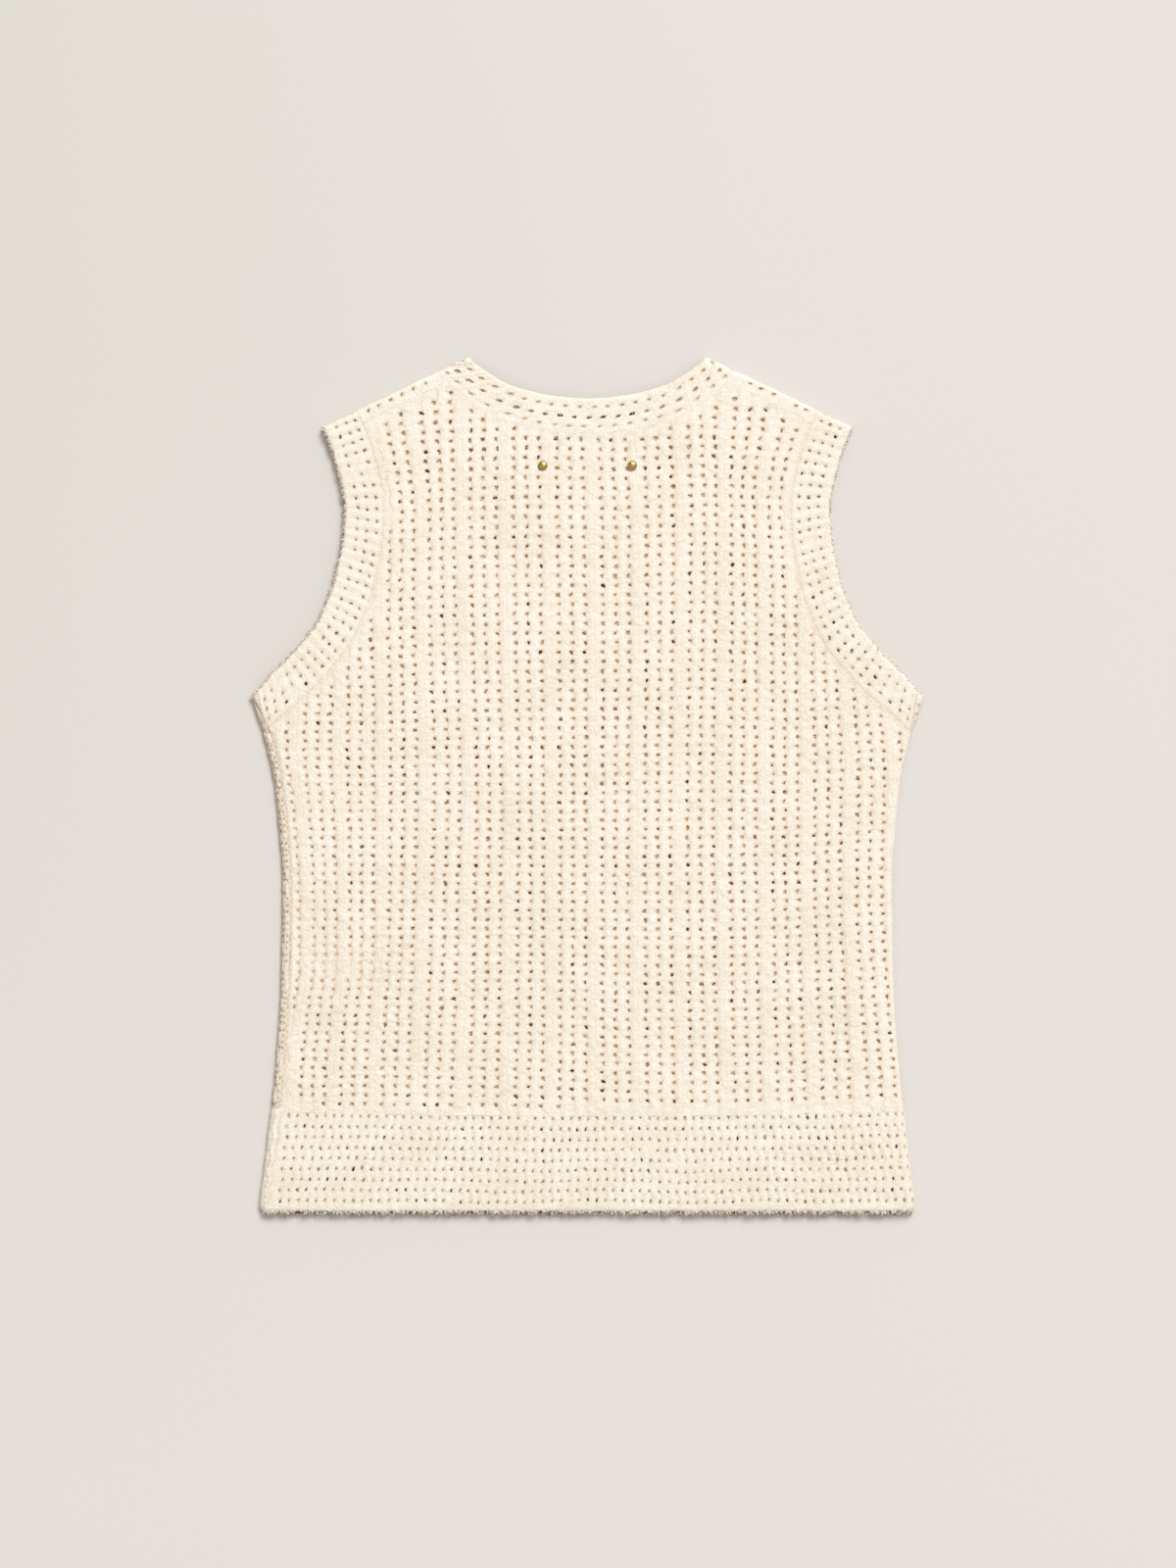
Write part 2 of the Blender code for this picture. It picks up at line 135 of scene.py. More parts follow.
# How the worn cloth has crept from that even layout, at eight places across it that
# are two groups of columns apart: first sideways, then upwards.
Creep = namedtuple("Creep", "height left4 left3 left2 left1 middle right1 right2 right3")
CREEP_PLACES = [PHASE + GROUP * g for g in (-8, -6, -4, -2, 0, 2, 4, 6)]
CREEP_SIDEWAYS = [
    Creep(93, 1.4, -2.4, -3.1, 0.0, 0.3, 1.7, 0.7, -0.7),
    Creep(120, 1.0, -2.4, -1.4, 1.0, 0.0, 1.0, 0.0, -1.4),
    Creep(147, 2.0, -2.0, -0.7, 1.0, -0.3, -0.3, -0.7, -0.3),
    Creep(174, 3.4, 0.3, 0.7, 1.0, -0.3, -0.3, -1.0, -0.7),
    Creep(202, 4.4, 0.7, 1.0, 1.0, -0.3, -0.7, -1.4, -2.4),
    Creep(229, 5.4, 1.4, 1.7, 1.0, -0.7, -1.4, -2.4, -2.4),
    Creep(256, 5.0, 1.4, 3.1, 1.4, -0.3, -1.4, -2.4, -1.0),
    Creep(283, 4.0, 1.7, 3.7, 1.0, -0.3, -1.7, -2.4, 0.0),
    Creep(310, 0.7, 2.0, 3.7, 1.0, -0.3, -1.7, -2.7, -0.3),
    Creep(338, 0.7, 2.7, 3.0, 0.7, 0.0, -1.0, -2.4, -3.6),
    Creep(365, 1.4, 2.4, 1.4, -0.3, 0.7, -0.7, -2.4, -4.2),
    Creep(392, 1.4, 0.0, 0.7, -0.7, 0.3, 0.3, -2.4, -4.8),
    Creep(419, 1.4, -1.0, -0.3, -1.0, 0.3, 0.7, -1.7, -1.7),
    Creep(446, 1.4, 0.0, -1.0, -1.4, 0.0, 1.0, -1.6, -1.7),
    Creep(474, 1.4, 0.7, -2.0, -1.7, -0.3, 1.6, -2.6, -1.7),
    Creep(501, 1.4, -1.6, -1.4, -2.2, -1.2, 1.4, -4.4, -4.0),
    Creep(528, 1.4, -1.0, -1.4, -1.7, -3.2, -1.2, -2.4, -4.0),
]
CREEP_UPWARDS = [
    Creep(93, 5.6, 5.6, 5.0, 4.6, 1.7, 1.0, 2.4, 5.3),
    Creep(120, 4.0, 4.0, 3.3, 3.3, 1.0, 1.4, 1.7, 4.3),
    Creep(147, 3.3, 3.3, 2.0, 3.3, 0.3, 0.0, 1.7, 3.9),
    Creep(174, 1.4, 1.4, 1.0, 1.4, 0.0, -0.3, 1.4, 3.9),
    Creep(202, 0.3, 0.3, 0.3, 0.7, 0.0, -0.3, 0.7, 3.9),
    Creep(229, 0.3, 0.3, -0.3, -0.3, -0.7, 0.0, 0.3, 4.2),
    Creep(256, 0.0, 0.0, -0.7, -0.7, -0.7, 0.3, 0.7, 4.2),
    Creep(283, -0.7, -0.7, -0.7, -1.4, -0.7, 0.3, 0.0, 3.6),
    Creep(310, -1.7, -1.7, -1.0, -1.4, -0.3, 0.7, -0.3, 3.6),
    Creep(338, -3.3, -3.3, -1.0, -0.7, 0.3, 1.4, -1.0, 2.0),
    Creep(365, -3.3, -3.3, -0.3, 0.3, 1.0, 1.7, -0.3, 1.0),
    Creep(392, -3.1, -3.1, 0.7, 2.0, 2.0, 3.3, 0.3, 0.3),
    Creep(419, -2.4, -2.4, 2.0, 3.3, 3.3, 4.6, 1.7, 1.7),
    Creep(446, 0.0, 0.0, 3.3, 4.6, 3.9, 6.8, 3.9, 3.9),
    Creep(474, 2.0, 2.0, 5.0, 7.0, 6.0, 8.6, 6.0, 6.0),
    Creep(501, 3.3, 3.3, 7.0, 9.4, 8.0, 9.9, 8.4, 8.4),
    Creep(528, 5.3, 5.3, 8.4, 11.2, 9.4, 12.2, 9.4, 9.4),
    Creep(560, 7.3, 7.3, 10.4, 13.6, 11.8, 14.0, 11.4, 11.4),
]
# Soft creases: where, along what length and width, how high (a ridge) or deep (a
# trough), and how far their line leans from upright, in degrees.
Crease = namedtuple("Crease", "x height length width rise lean")
CREASES_BACK = [
    Crease(-176, 170, 120, 15, 0.9, 4),
    Crease(-150, 163, 80, 10, -0.6, 2),
    Crease(-196, 250, 150, 12, -0.5, -2),
    Crease(-120, 330, 110, 22, 0.5, 9),
    Crease(-40, 240, 190, 30, 0.45, -5),
    Crease(64, 150, 130, 26, -0.45, 6),
    Crease(118, 300, 170, 24, 0.5, -8),
    Crease(186, 210, 160, 14, 0.7, -3),
    Crease(-150, 420, 90, 14, 0.6, -14),
    Crease(140, 430, 100, 15, 0.5, 12),
    Crease(20, 470, 140, 34, -0.4, 3),
    Crease(-62, 120, 70, 18, -0.5, 12),
    Crease(170, 110, 60, 16, -0.5, -10),
]
CREASES_FRONT = [
    Crease(-140, 200, 140, 20, 0.5, 5),
    Crease(-60, 300, 170, 26, 0.6, -6),
    Crease(30, 170, 110, 22, 0.45, 8),
    Crease(110, 260, 150, 24, 0.6, -4),
    Crease(170, 150, 90, 16, 0.5, 9),
    Crease(90, 430, 90, 20, 0.5, 12),
    Crease(-110, 420, 100, 18, 0.4, -10),
]


# ---------------------------------------------------------------- curves
class Curve:
    """A smooth line through points, found by its length from the start."""

    def __init__(self, points, per_span=24):
        p = np.array(points, float)
        ends = np.vstack([2 * p[0] - p[1], p, 2 * p[-1] - p[-2]])
        fine = []
        for a, b, c, d in zip(ends, ends[1:], ends[2:], ends[3:]):
            for t in np.arange(per_span) / per_span:
                fine.append(
                    0.5
                    * (
                        2 * b
                        + (c - a) * t
                        + (2 * a - 5 * b + 4 * c - d) * t**2
                        + (3 * b - a - 3 * c + d) * t**3
                    )
                )
        self.points = np.vstack([fine, p[-1:]])
        step = np.linalg.norm(np.diff(self.points, axis=0), axis=1)
        self.along = np.concatenate([[0], np.cumsum(step)])
        self.length = float(self.along[-1])

    def at(self, s):
        s = np.asarray(s, float)
        return np.stack(
            [np.interp(s, self.along, self.points[:, k]) for k in (0, 1)], axis=-1
        )

    def heading(self, s):
        s = np.asarray(s, float)
        d = self.at(np.minimum(s + 1.5, self.length)) - self.at(np.maximum(s - 1.5, 0))
        return d / np.linalg.norm(d, axis=-1, keepdims=True)


def solve(f, low, high):
    for _ in range(50):
        mid = (low + high) / 2
        if f(mid) < 0:
            low = mid
        else:
            high = mid
    return (low + high) / 2


def plane(table):
    return [(row.half, row.height) for row in table]


def part_of(curve, start, end, n=80):
    return Curve([curve.at(s) for s in np.linspace(start, end, n)], 1)


SIDE_LINE = Curve(plane(SIDE))
_order = np.argsort(SIDE_LINE.points[:, 1])
_side_h, _side_x = SIDE_LINE.points[_order, 1], SIDE_LINE.points[_order, 0]


def side_half(height):
    """Half the width of a layer's flat part at that height."""
    return np.interp(height, _side_h, _side_x) - TURN


TIP = np.array([ARMHOLE[-1].half, ARMHOLE[-1].height])
NECK_POINT = np.array([NECK_BACK[-1].half, NECK_BACK[-1].height])
TO_NECK = (NECK_POINT - TIP) / np.linalg.norm(NECK_POINT - TIP)
OUTWARD = np.array([-TO_NECK[1], TO_NECK[0]])
OUTWARD = OUTWARD if OUTWARD[1] > 0 else -OUTWARD


def below_shoulder(point):
    return (TIP - np.asarray(point)) @ OUTWARD


class Band:
    """A band along an open edge: its edge line and the ribs that leave it."""

    def __init__(self, edge, width, inward, start_to=None, end_to=None):
        self.edge, self.width, self.inward = edge, width, inward
        self.start_to, self.end_to = start_to, end_to

    def rib(self, s):
        s = np.asarray(s, float)
        d = self.edge.heading(s)
        rib = np.stack([d[..., 1], -d[..., 0]], axis=-1) * self.inward
        for to, away in ((self.start_to, s), (self.end_to, self.edge.length - s)):
            if to is not None:
                t = np.clip(away / BLEND, 0, 1)
                w = (1 - t * t * (3 - 2 * t))[..., None]
                rib = rib * (1 - w) + np.array(to) * w
                rib = rib / np.linalg.norm(rib, axis=-1, keepdims=True)
        return rib

    def at(self, s, across):
        s = np.asarray(s, float)
        return self.edge.at(s) + self.rib(s) * np.asarray(across, float)[..., None]

    def seam(self, s):
        return self.at(s, np.full(np.shape(s), self.width))


whole = Curve(plane(ARMHOLE))
a0 = solve(lambda s: (SIDE[-1].half - TURN) - whole.at(s)[0], 0, 30)
a1 = solve(lambda s: TURN - below_shoulder(whole.at(s)), whole.length - 30, whole.length)
arm_edge = part_of(whole, a0, a1)
first = arm_edge.at(0)
drop = solve(
    lambda d: np.hypot(first[0] - side_half(first[1] - d), d) - ARM_BAND, 10, 40
)
first_seam = np.array([side_half(first[1] - drop), first[1] - drop])
UNDERARM = float(first_seam[1])  # height where the side ends at the armhole band
ARM = Band(
    arm_edge,
    ARM_BAND,
    -1,
    start_to=(first_seam - first) / np.linalg.norm(first_seam - first),
    end_to=TO_NECK,
)
whole = Curve([(-x, y) for x, y in reversed(plane(NECK_BACK)[1:3])] + plane(NECK_BACK))
n0 = solve(lambda s: whole.at(s)[0], 0, 60)
n1 = solve(lambda s: TURN - below_shoulder(whole.at(s)), whole.length - 30, whole.length)
NECK = Band(part_of(whole, n0, n1), NECK_BAND, 1, end_to=-TO_NECK)
whole = Curve(
    [(-x, y) for x, y in reversed(plane(NECK_FRONT)[1:3])]
    + plane(NECK_FRONT)
    + [tuple(NECK.edge.at(NECK.edge.length))]
)
n0 = solve(lambda s: whole.at(s)[0], 0, 90)
NECK_F = Band(part_of(whole, n0, whole.length), NECK_BAND, 1, end_to=-TO_NECK)
arm_roll = solve(
    lambda s: (ARM.seam(0)[0] - SIDE_ROLL) - ARM.seam(s)[0], 0, ARM.edge.length / 3
)
arm_flap = solve(
    lambda s: TURN + SHOULDER_ROLL - below_shoulder(ARM.seam(s)),
    ARM.edge.length / 2,
    ARM.edge.length,
)
neck_flap = solve(
    lambda s: TURN + SHOULDER_ROLL - below_shoulder(NECK.seam(s)),
    NECK.edge.length / 2,
    NECK.edge.length,
)


def hem_top(share):
    return HEM_MIDDLE + (HEM_SIDE - HEM_MIDDLE) * np.asarray(share) ** 2


# ------------------------------------------------------- soft relief, noise
def waves(x, y, seed, low, high, n=9):
    """Soft irregular unevenness, about -1 to 1: crossing waves of mixed lengths."""
    r = np.random.default_rng(seed)
    out = 0
    for _ in range(n):
        a = r.uniform(0, 2 * math.pi)
        k = 2 * math.pi / r.uniform(low, high)
        out = out + np.sin(k * (x * math.cos(a) + y * math.sin(a)) + r.uniform(0, 7))
    return out / math.sqrt(n)


def ring_waves(u, v, total, seed, low, high):
    """The same round a band that closes on itself."""
    size = total / (2 * math.pi)
    return waves(
        size * np.cos(u / size) + 0.7 * v, size * np.sin(u / size) - 0.7 * v, seed, low, high
    )


def grain(shape, seed, smooth=1):
    """Knobbly noise from point to point of a grid, about -1 to 1."""
    g = np.random.default_rng(seed).normal(size=shape)
    for _ in range(smooth):
        g = g + np.roll(g, 1, 0) + np.roll(g, -1, 0)
        g = g + np.roll(g, 1, 1) + np.roll(g, -1, 1)
    return np.clip(g / g.std(), -2.2, 2.2) / 1.6


def bell(x, width):
    return np.exp(-((x / width) ** 2))


def eased(t):
    t = np.clip(t, 0, 1)
    return t * t * (3 - 2 * t)


def under_seam(v, wide):
    """How a band goes down, to lie under the edge of the panel that it's sewn to."""
    return -0.13 * eased((v - wide + 3.6) / 2.6) - 0.5 * eased((v - wide + 1.1) / 1.8)


def creases(x, y, table):
    """The sum of the table's soft ridges and troughs."""
    out = np.zeros(np.shape(x))
    for c in table:
        a = math.radians(c.lean)
        dx, dy = x - c.x, y - c.height
        along = dx * math.sin(a) + dy * math.cos(a)
        side = dx * math.cos(a) - dy * math.sin(a)
        bend = side - 0.0012 * along**2 * (1 if c.lean > 0 else -1)
        out = out + c.rise * bell(bend, c.width) * bell(along, c.length * 0.55)
    return out


# ------------------------------------------------------------- knit patches
def grid_lines(places, near, low, high, step, also=()):
    """Grid lines from low to high: near each place at the offsets near, at the
    places in also, and the rest about step apart. Returns them and the index of
    each place's own line."""
    own = {round(p, 5) for p in places if low < p < high}
    marks = {round(p + o, 5) for p in places for o in near if low < p + o < high}
    marks = sorted(marks | own | set(also) | {low, high})
    out = [marks[0]]
    for m in marks[1:]:
        base = out[-1]
        gap = m - base
        if gap < 0.3:
            if m in own or m == high:
                out[-1] = m
            continue
        n = max(1, int(round(gap / step)))
        out.extend(base + gap * (i + 1) / n for i in range(n - 1))
        out.append(m)
    where = {round(v, 5): i for i, v in enumerate(out)}
    return np.array(out), [where.get(round(p, 5)) for p in places]


RING = [(-1, -1), (0, -1), (1, -1), (1, 0), (1, 1), (0, 1), (-1, 1), (-1, 0)]


def mesh_from(name, co, faces, mats, uv=None, painted_shade=None, tone=None, flat_from=None):
    """A mesh object from arrays: points in millimetres and quads. Faces from
    flat_from on are shaded flat, which keeps cut edges out of the smooth shading."""
    faces = np.asarray(faces)
    used, index = np.unique(faces, return_inverse=True)
    flat = index.reshape(faces.shape)
    corners = faces.shape[1]
    pts = np.asarray(co)[used].copy()
    pts[:, 1] -= CENTRE
    mesh = bpy.data.meshes.new(name)
    mesh.vertices.add(len(used))
    mesh.vertices.foreach_set("co", (pts * MM).astype(np.float32).ravel())
    mesh.loops.add(flat.size)
    mesh.loops.foreach_set("vertex_index", flat.astype(np.int32).ravel())
    mesh.polygons.add(len(flat))
    mesh.polygons.foreach_set(
        "loop_start", np.arange(0, flat.size, corners, dtype=np.int32)
    )
    smooth = np.ones(len(flat), bool)
    if flat_from is not None:
        smooth[flat_from:] = False
    mesh.polygons.foreach_set("use_smooth", smooth)
    mesh.update(calc_edges=True)
    if uv is not None:
        layer = mesh.uv_layers.new(name="knit")
        layer.data.foreach_set(
            "uv", np.asarray(uv)[used][flat.ravel()].astype(np.float32).ravel()
        )
    for key, values in (("painted_shade", painted_shade), ("tone", tone)):
        if values is not None:
            attr = mesh.attributes.new(key, "FLOAT", "POINT")
            attr.data.foreach_set("value", np.asarray(values)[used].astype(np.float32))
    obj = bpy.data.objects.new(name, mesh)
    bpy.context.scene.collection.objects.link(obj)
    for m in mats if isinstance(mats, (list, tuple)) else [mats]:
        mesh.materials.append(m)
    return obj


def inside(points, polygon):
    """Signed distance to a closed polygon, positive inside, and the nearest place."""
    a = np.asarray(polygon, float)
    b = np.roll(a, -1, axis=0)
    best = np.full(len(points), 1e18)
    near = np.zeros((len(points), 2))
    odd = np.zeros(len(points), bool)
    x, y = points[:, 0], points[:, 1]
    for p, q in zip(a, b):
        d = q - p
        size = d @ d
        if size < 1e-12:
            continue
        t = np.clip(((x - p[0]) * d[0] + (y - p[1]) * d[1]) / size, 0, 1)
        cx, cy = p[0] + t * d[0], p[1] + t * d[1]
        r = (x - cx) ** 2 + (y - cy) ** 2
        closer = r < best
        best = np.where(closer, r, best)
        near[:, 0] = np.where(closer, cx, near[:, 0])
        near[:, 1] = np.where(closer, cy, near[:, 1])
        if p[1] != q[1]:
            odd ^= ((p[1] > y) != (q[1] > y)) & (x < d[0] * (y - p[1]) / d[1] + p[0])
    best = np.sqrt(best)
    return np.where(odd, best, -best), near


# One hole: its middle's offset, its half axes and how far they are turned, the
# angle and strength of its three corners, its depth, how many strands cross it
# (upright ones below zero),
# how dark its bottom is painted, as painted shade (1 is tan, 2 nearly black), and
# whether the other layer's yarn lies against it there, as a cap that takes that painted shade.
Hole = namedtuple("Hole", "du dv ru rv lean turn tri depth strands shade backed")


def painted_hole_shade(r, black=0.06):
    """How dark a hole's bottom is painted, as painted shade: mostly tan, some brown, a few nearly black."""
    pick = r.random()
    if pick < black:
        return 1.9
    if pick < black + 0.18:
        return r.uniform(1.25, 1.6)
    return r.uniform(0.5, 1.2)


def cut_edges(quads, rim_key, n):
    """The edges that only one of these faces has and that aren't on a hole's rim."""
    e = np.concatenate([np.stack([quads[:, k], quads[:, (k + 1) % 4]], 1) for k in range(4)])
    key = e.min(1).astype(np.int64) * (2 * n) + e.max(1)
    _, at, uses = np.unique(key, return_index=True, return_counts=True)
    keep = at[uses == 1]
    return e[keep[~np.isin(key[keep], rim_key)]]


def knit(
    name,
    across,
    up,
    place,
    relief,
    hole,
    mats,
    seed,
    warp=None,
    region=None,
    margin=2.4,
    closed=False,
    flip=False,
    back=None,
    split=None,
    stitch=(3.0, 3.172),
    rim=0.22,
    rough=0.14,
    painted_shade_at=None,
):
    """A patch of openwork knit on a grid of points.

    across and up are (grid lines, own lines of the hole columns or rows). A hole
    sits where two such lines cross: the eight points round it form its rim and the
    faces inside are left out. warp lays the grid out flat, region is the polygon
    that is kept of it, place(x, y, h) puts flat places at a height above the outer
    surface into the garment. relief gives those heights. Walls go down from each
    rim; without back, their bottoms take each hole's painted shade. With back, a
    second skin lies that far behind and closes the cloth, painted darker as painted
    shade. The last function, when given, adds painted shade: tan on the yarn besides
    the holes, in grooves, at seams and along shaded edges."""
    (U1, cols), (V1, rows) = across, up
    if closed:  # the last line is the first one again
        U1 = U1[:-1]
    nu, nv = len(U1), len(V1)
    U, V = np.meshgrid(U1, V1, indexing="ij")
    U0, V0 = U.copy(), V.copy()
    wx, wy = warp(U, V) if warp else (U, V)
    if region is not None:
        dist, near = inside(np.stack([wx.ravel(), wy.ravel()], axis=1), region)
        dist, near = dist.reshape(nu, nv), near.reshape(nu, nv, 2)
    else:
        dist = np.full((nu, nv), 50.0)
    gone = np.zeros((nu, nv), bool)  # faces, by their lower left point
    lip = np.zeros((nu, nv))
    r = np.random.default_rng(seed)
    rims, depths, shades, backed, crossed = [], [], [], [], []
    for k, i in enumerate(cols):
        if i is None or not 1 < i < nu - 2:
            continue
        for m, j in enumerate(rows):
            if j is None or not 1 < j < nv - 2 or dist[i, j] < margin:
                continue
            spec = hole(k, m, wx[i, j], wy[i, j], r)
            if spec is None:
                continue
            ids = []
            jolt = r.normal(0, 0.16, 8)
            ca, sa = math.cos(spec.lean), math.sin(spec.lean)
            for (di, dj), more in zip(RING, jolt):
                a = math.atan2(dj, di)
                ii, jj = i + di, j + dj
                rad = 1 + spec.tri * math.cos(3 * (a - spec.turn)) + more
                p = spec.ru * rad * math.cos(a - spec.lean)
                q = spec.rv * rad * math.sin(a - spec.lean)
                U[ii, jj] = U0[i, j] + spec.du + p * ca - q * sa
                V[ii, jj] = V0[i, j] + spec.dv + p * sa + q * ca
                ids.append(ii * nv + jj)
                lip[ii, jj] = 1.0
            gone[i - 1 : i + 1, j - 1 : j + 1] = True
            rims.append(ids)
            depths.append(spec.depth)
            shades.append(spec.shade)
            backed.append(spec.backed)
            for _ in range(abs(spec.strands)):
                crossed.append(
                    (
                        len(rims) - 1,
                        math.pi / 2 if spec.strands < 0 else r.uniform(0, math.pi),
                        r.normal(0, 0.3),
                        r.uniform(0.3, 1.0),
                        r.uniform(0.16, 0.34),
                    )
                )
    soft = lip + 0.25 * (
        np.roll(lip, 1, 0) + np.roll(lip, -1, 0) + np.roll(lip, 1, 1) + np.roll(lip, -1, 1)
    ) * (1 - lip)
    soft = np.clip(soft, 0, 1)
    X, Y = warp(U, V) if warp else (U, V)
    H = relief(U0, V0, X, Y, dist)
    near_edge = np.clip(dist / 3.0, 0.25, 1)
    H = H + rough * grain((nu, nv), seed + 5, 1) * (1 - 0.6 * lip) * near_edge
    H = H - rim * soft
    if region is not None:
        X = np.where(dist < 0, near[..., 0], X)
        Y = np.where(dist < 0, near[..., 1], Y)
    n = nu * nv
    top = place(X.ravel(), Y.ravel(), H.ravel())
    I, J = np.meshgrid(
        np.arange(nu if closed else nu - 1), np.arange(nv - 1), indexing="ij"
    )
    I2 = (I + 1) % nu
    quads = np.stack(
        [I * nv + J, I2 * nv + J, I2 * nv + J + 1, I * nv + J + 1], axis=-1
    )
    live = ~gone[I, J]
    if region is not None:
        corner = np.stack(
            [dist[I, J], dist[I2, J], dist[I2, J + 1], dist[I, J + 1]], axis=-1
        )
        live &= (corner > 0).any(-1)
    quads = quads[live]
    where = I[live]
    # painted shade: tan on each hole's rim and, less, round it
    painted_shade = 0.34 * lip + 0.10 * soft
    # the piece's own painted shade is added on top
    if painted_shade_at is not None:
        painted_shade = painted_shade + painted_shade_at(U0, V0, X, Y, dist) * (1 - 0.5 * lip)
    painted_shade = np.clip(painted_shade, 0, 2).ravel()
    tone = (grain((nu, nv), seed + 9, 2) * 0.5 + 0.5).ravel()
    uv = np.stack([U0.ravel() / stitch[0], V0.ravel() / stitch[1]], axis=1)
    pts, dps, tns, uvs = [top], [painted_shade], [tone], [uv]
    ids = np.array(rims, int).reshape(-1, 8)
    depth = np.repeat(np.array(depths), 8)
    if back is None:
        x, y, h = X.ravel()[ids], Y.ravel()[ids], H.ravel()[ids]
        mx, my = x.mean(1, keepdims=True), y.mean(1, keepdims=True)
        low = place(
            (mx + (x - mx) * 1.1).ravel(),
            (my + (y - my) * 1.1).ravel(),
            h.ravel() * 0.4 - depth,
        )
        under_ids = np.arange(ids.size).reshape(ids.shape) + n
        pts.append(low)
        # each hole's bottom is painted with its shade level, as painted shade
        dps.append(np.repeat(np.array(shades), 8))
        tns.append(tone[ids.ravel()])
        uvs.append(uv[ids.ravel()])
    else:
        under = place(X.ravel(), Y.ravel(), (np.minimum(-0.3 * H, 0.4) - back).ravel())
        under_ids = ids + n
        pts.append(under)
        # the inner skin is painted darker, as painted shade
        dps.append(np.clip(painted_shade + 0.9, 0, 1.4))
        tns.append(tone)
        uvs.append(uv)
    bars = np.zeros((0, 2, 3, 4), int)
    if crossed:
        # strands of yarn across the holes: three points each, three corners round
        own = np.array([c[0] for c in crossed])
        way, off, down, thick = (np.array([c[k] for c in crossed]) for k in (1, 2, 3, 4))
        hx, hy, hh = X.ravel()[ids[own]], Y.ravel()[ids[own]], H.ravel()[ids[own]]
        size = 0.5 * (np.ptp(hx, axis=1) + np.ptp(hy, axis=1)) / 2
        ct, st = np.cos(way), np.sin(way)
        cx, cy = hx.mean(1) - st * off * size, hy.mean(1) + ct * off * size
        base = sum(len(p) for p in pts)
        for step, sag in ((-1.15, 0.2), (0.0, 1.0), (1.15, 0.2)):
            for angle in (0.5, 2.6, 4.7):
                side = thick * math.cos(angle)
                pts.append(
                    place(
                        cx + ct * step * size - st * side,
                        cy + st * step * size + ct * side,
                        hh.mean(1) - 0.25 - down * sag + thick * math.sin(angle),
                    )
                )
                # the strands in the holes are painted tan, as painted shade, like the holes' rims
                dps.append(np.full(len(own), 0.35))
                tns.append(tone[ids[own][:, 0]])
                uvs.append(uv[ids[own][:, 0]])
        m = len(own)
        at = base + np.arange(9).reshape(3, 3)[None] * m + np.arange(m)[:, None, None]
        a, b = at[:, :-1], at[:, 1:]
        bars = np.stack([a, np.roll(a, -1, 2), np.roll(b, -1, 2), b], axis=-1)
    co = np.concatenate(pts)
    painted_shade, tone, uv = np.concatenate(dps), np.concatenate(tns), np.concatenate(uvs)
    rim_e = np.stack([ids.ravel(), np.roll(ids, -1, axis=1).ravel()], axis=1)
    rim_key = rim_e.min(1).astype(np.int64) * (2 * n) + rim_e.max(1)
    wall = np.stack(
        [ids, np.roll(ids, -1, 1), np.roll(under_ids, -1, 1), under_ids], axis=-1
    )

    k = under_ids[np.array(backed, bool)] if back is None else under_ids[:0]
    caps = np.stack([k[:, c] for c in ((0, 1, 2, 7), (7, 2, 3, 6), (6, 3, 4, 5))], axis=1)

    def piece(name, skin, walls, strands, ends):
        faces = [skin, walls.reshape(-1, 4), strands.reshape(-1, 4), ends.reshape(-1, 4)]
        smooth = None
        if back is not None:
            faces.insert(1, skin[:, ::-1] + n)
            cut = cut_edges(skin, rim_key, n)
            smooth = sum(len(f) for f in faces)
            faces.append(np.stack([cut[:, 1], cut[:, 0], cut[:, 0] + n, cut[:, 1] + n], 1))
        faces = np.concatenate(faces)
        if flip:
            faces = faces[:, ::-1]
        return mesh_from(name, co, faces, mats, uv, painted_shade, tone, smooth)

    if split is None:
        return piece(name, quads, wall, bars, caps)
    line = int(np.searchsorted(U1, split))
    left, hole_left = where < line, ids[:, 1] // nv < line
    bar_left = hole_left[[c[0] for c in crossed]] if crossed else np.zeros(0, bool)
    cap_left = hole_left[np.array(backed, bool)] if len(caps) else np.zeros(0, bool)
    return [
        piece(name + "_left", quads[left], wall[hole_left], bars[bar_left], caps[cap_left]),
        piece(
            name + "_right", quads[~left], wall[~hole_left], bars[~bar_left], caps[~cap_left]
        ),
    ]


# ---------------------------------------------------------------- materials
def nodes_of(name):
    m = bpy.data.materials.new(name)
    m.use_nodes = True
    nt = m.node_tree
    nt.nodes.clear()
    return m, nt


def maths(nt, op, a, b=None):
    n = nt.nodes.new("ShaderNodeMath")
    n.operation = op
    for i, v in enumerate((a, b)):
        if v is None:
            continue
        if isinstance(v, (int, float)):
            n.inputs[i].default_value = v
        else:
            nt.links.new(v, n.inputs[i])
    return n.outputs[0]


def noise(nt, vector, scale, detail, rough=0.5):
    n = nt.nodes.new("ShaderNodeTexNoise")
    n.noise_dimensions = "3D"
    n.inputs["Scale"].default_value = scale
    n.inputs["Detail"].default_value = detail
    n.inputs["Roughness"].default_value = rough
    nt.links.new(vector, n.inputs["Vector"])
    return n.outputs[0]


def span(nt, value, low, high, out_low=0.0, out_high=1.0):
    n = nt.nodes.new("ShaderNodeMapRange")
    for i, v in enumerate((low, high, out_low, out_high)):
        n.inputs[i + 1].default_value = v
    nt.links.new(value, n.inputs[0])
    return n.outputs[0]


def rgb(nt, c):
    n = nt.nodes.new("ShaderNodeRGB")
    n.outputs[0].default_value = (*c, 1)
    return n.outputs[0]


def mix(nt, fac, a, b):
    n = nt.nodes.new("ShaderNodeMix")
    n.data_type = "RGBA"
    if isinstance(fac, (int, float)):
        n.inputs[0].default_value = fac
    else:
        nt.links.new(fac, n.inputs[0])
    nt.links.new(a, n.inputs[6])
    nt.links.new(b, n.inputs[7])
    return n.outputs[2]


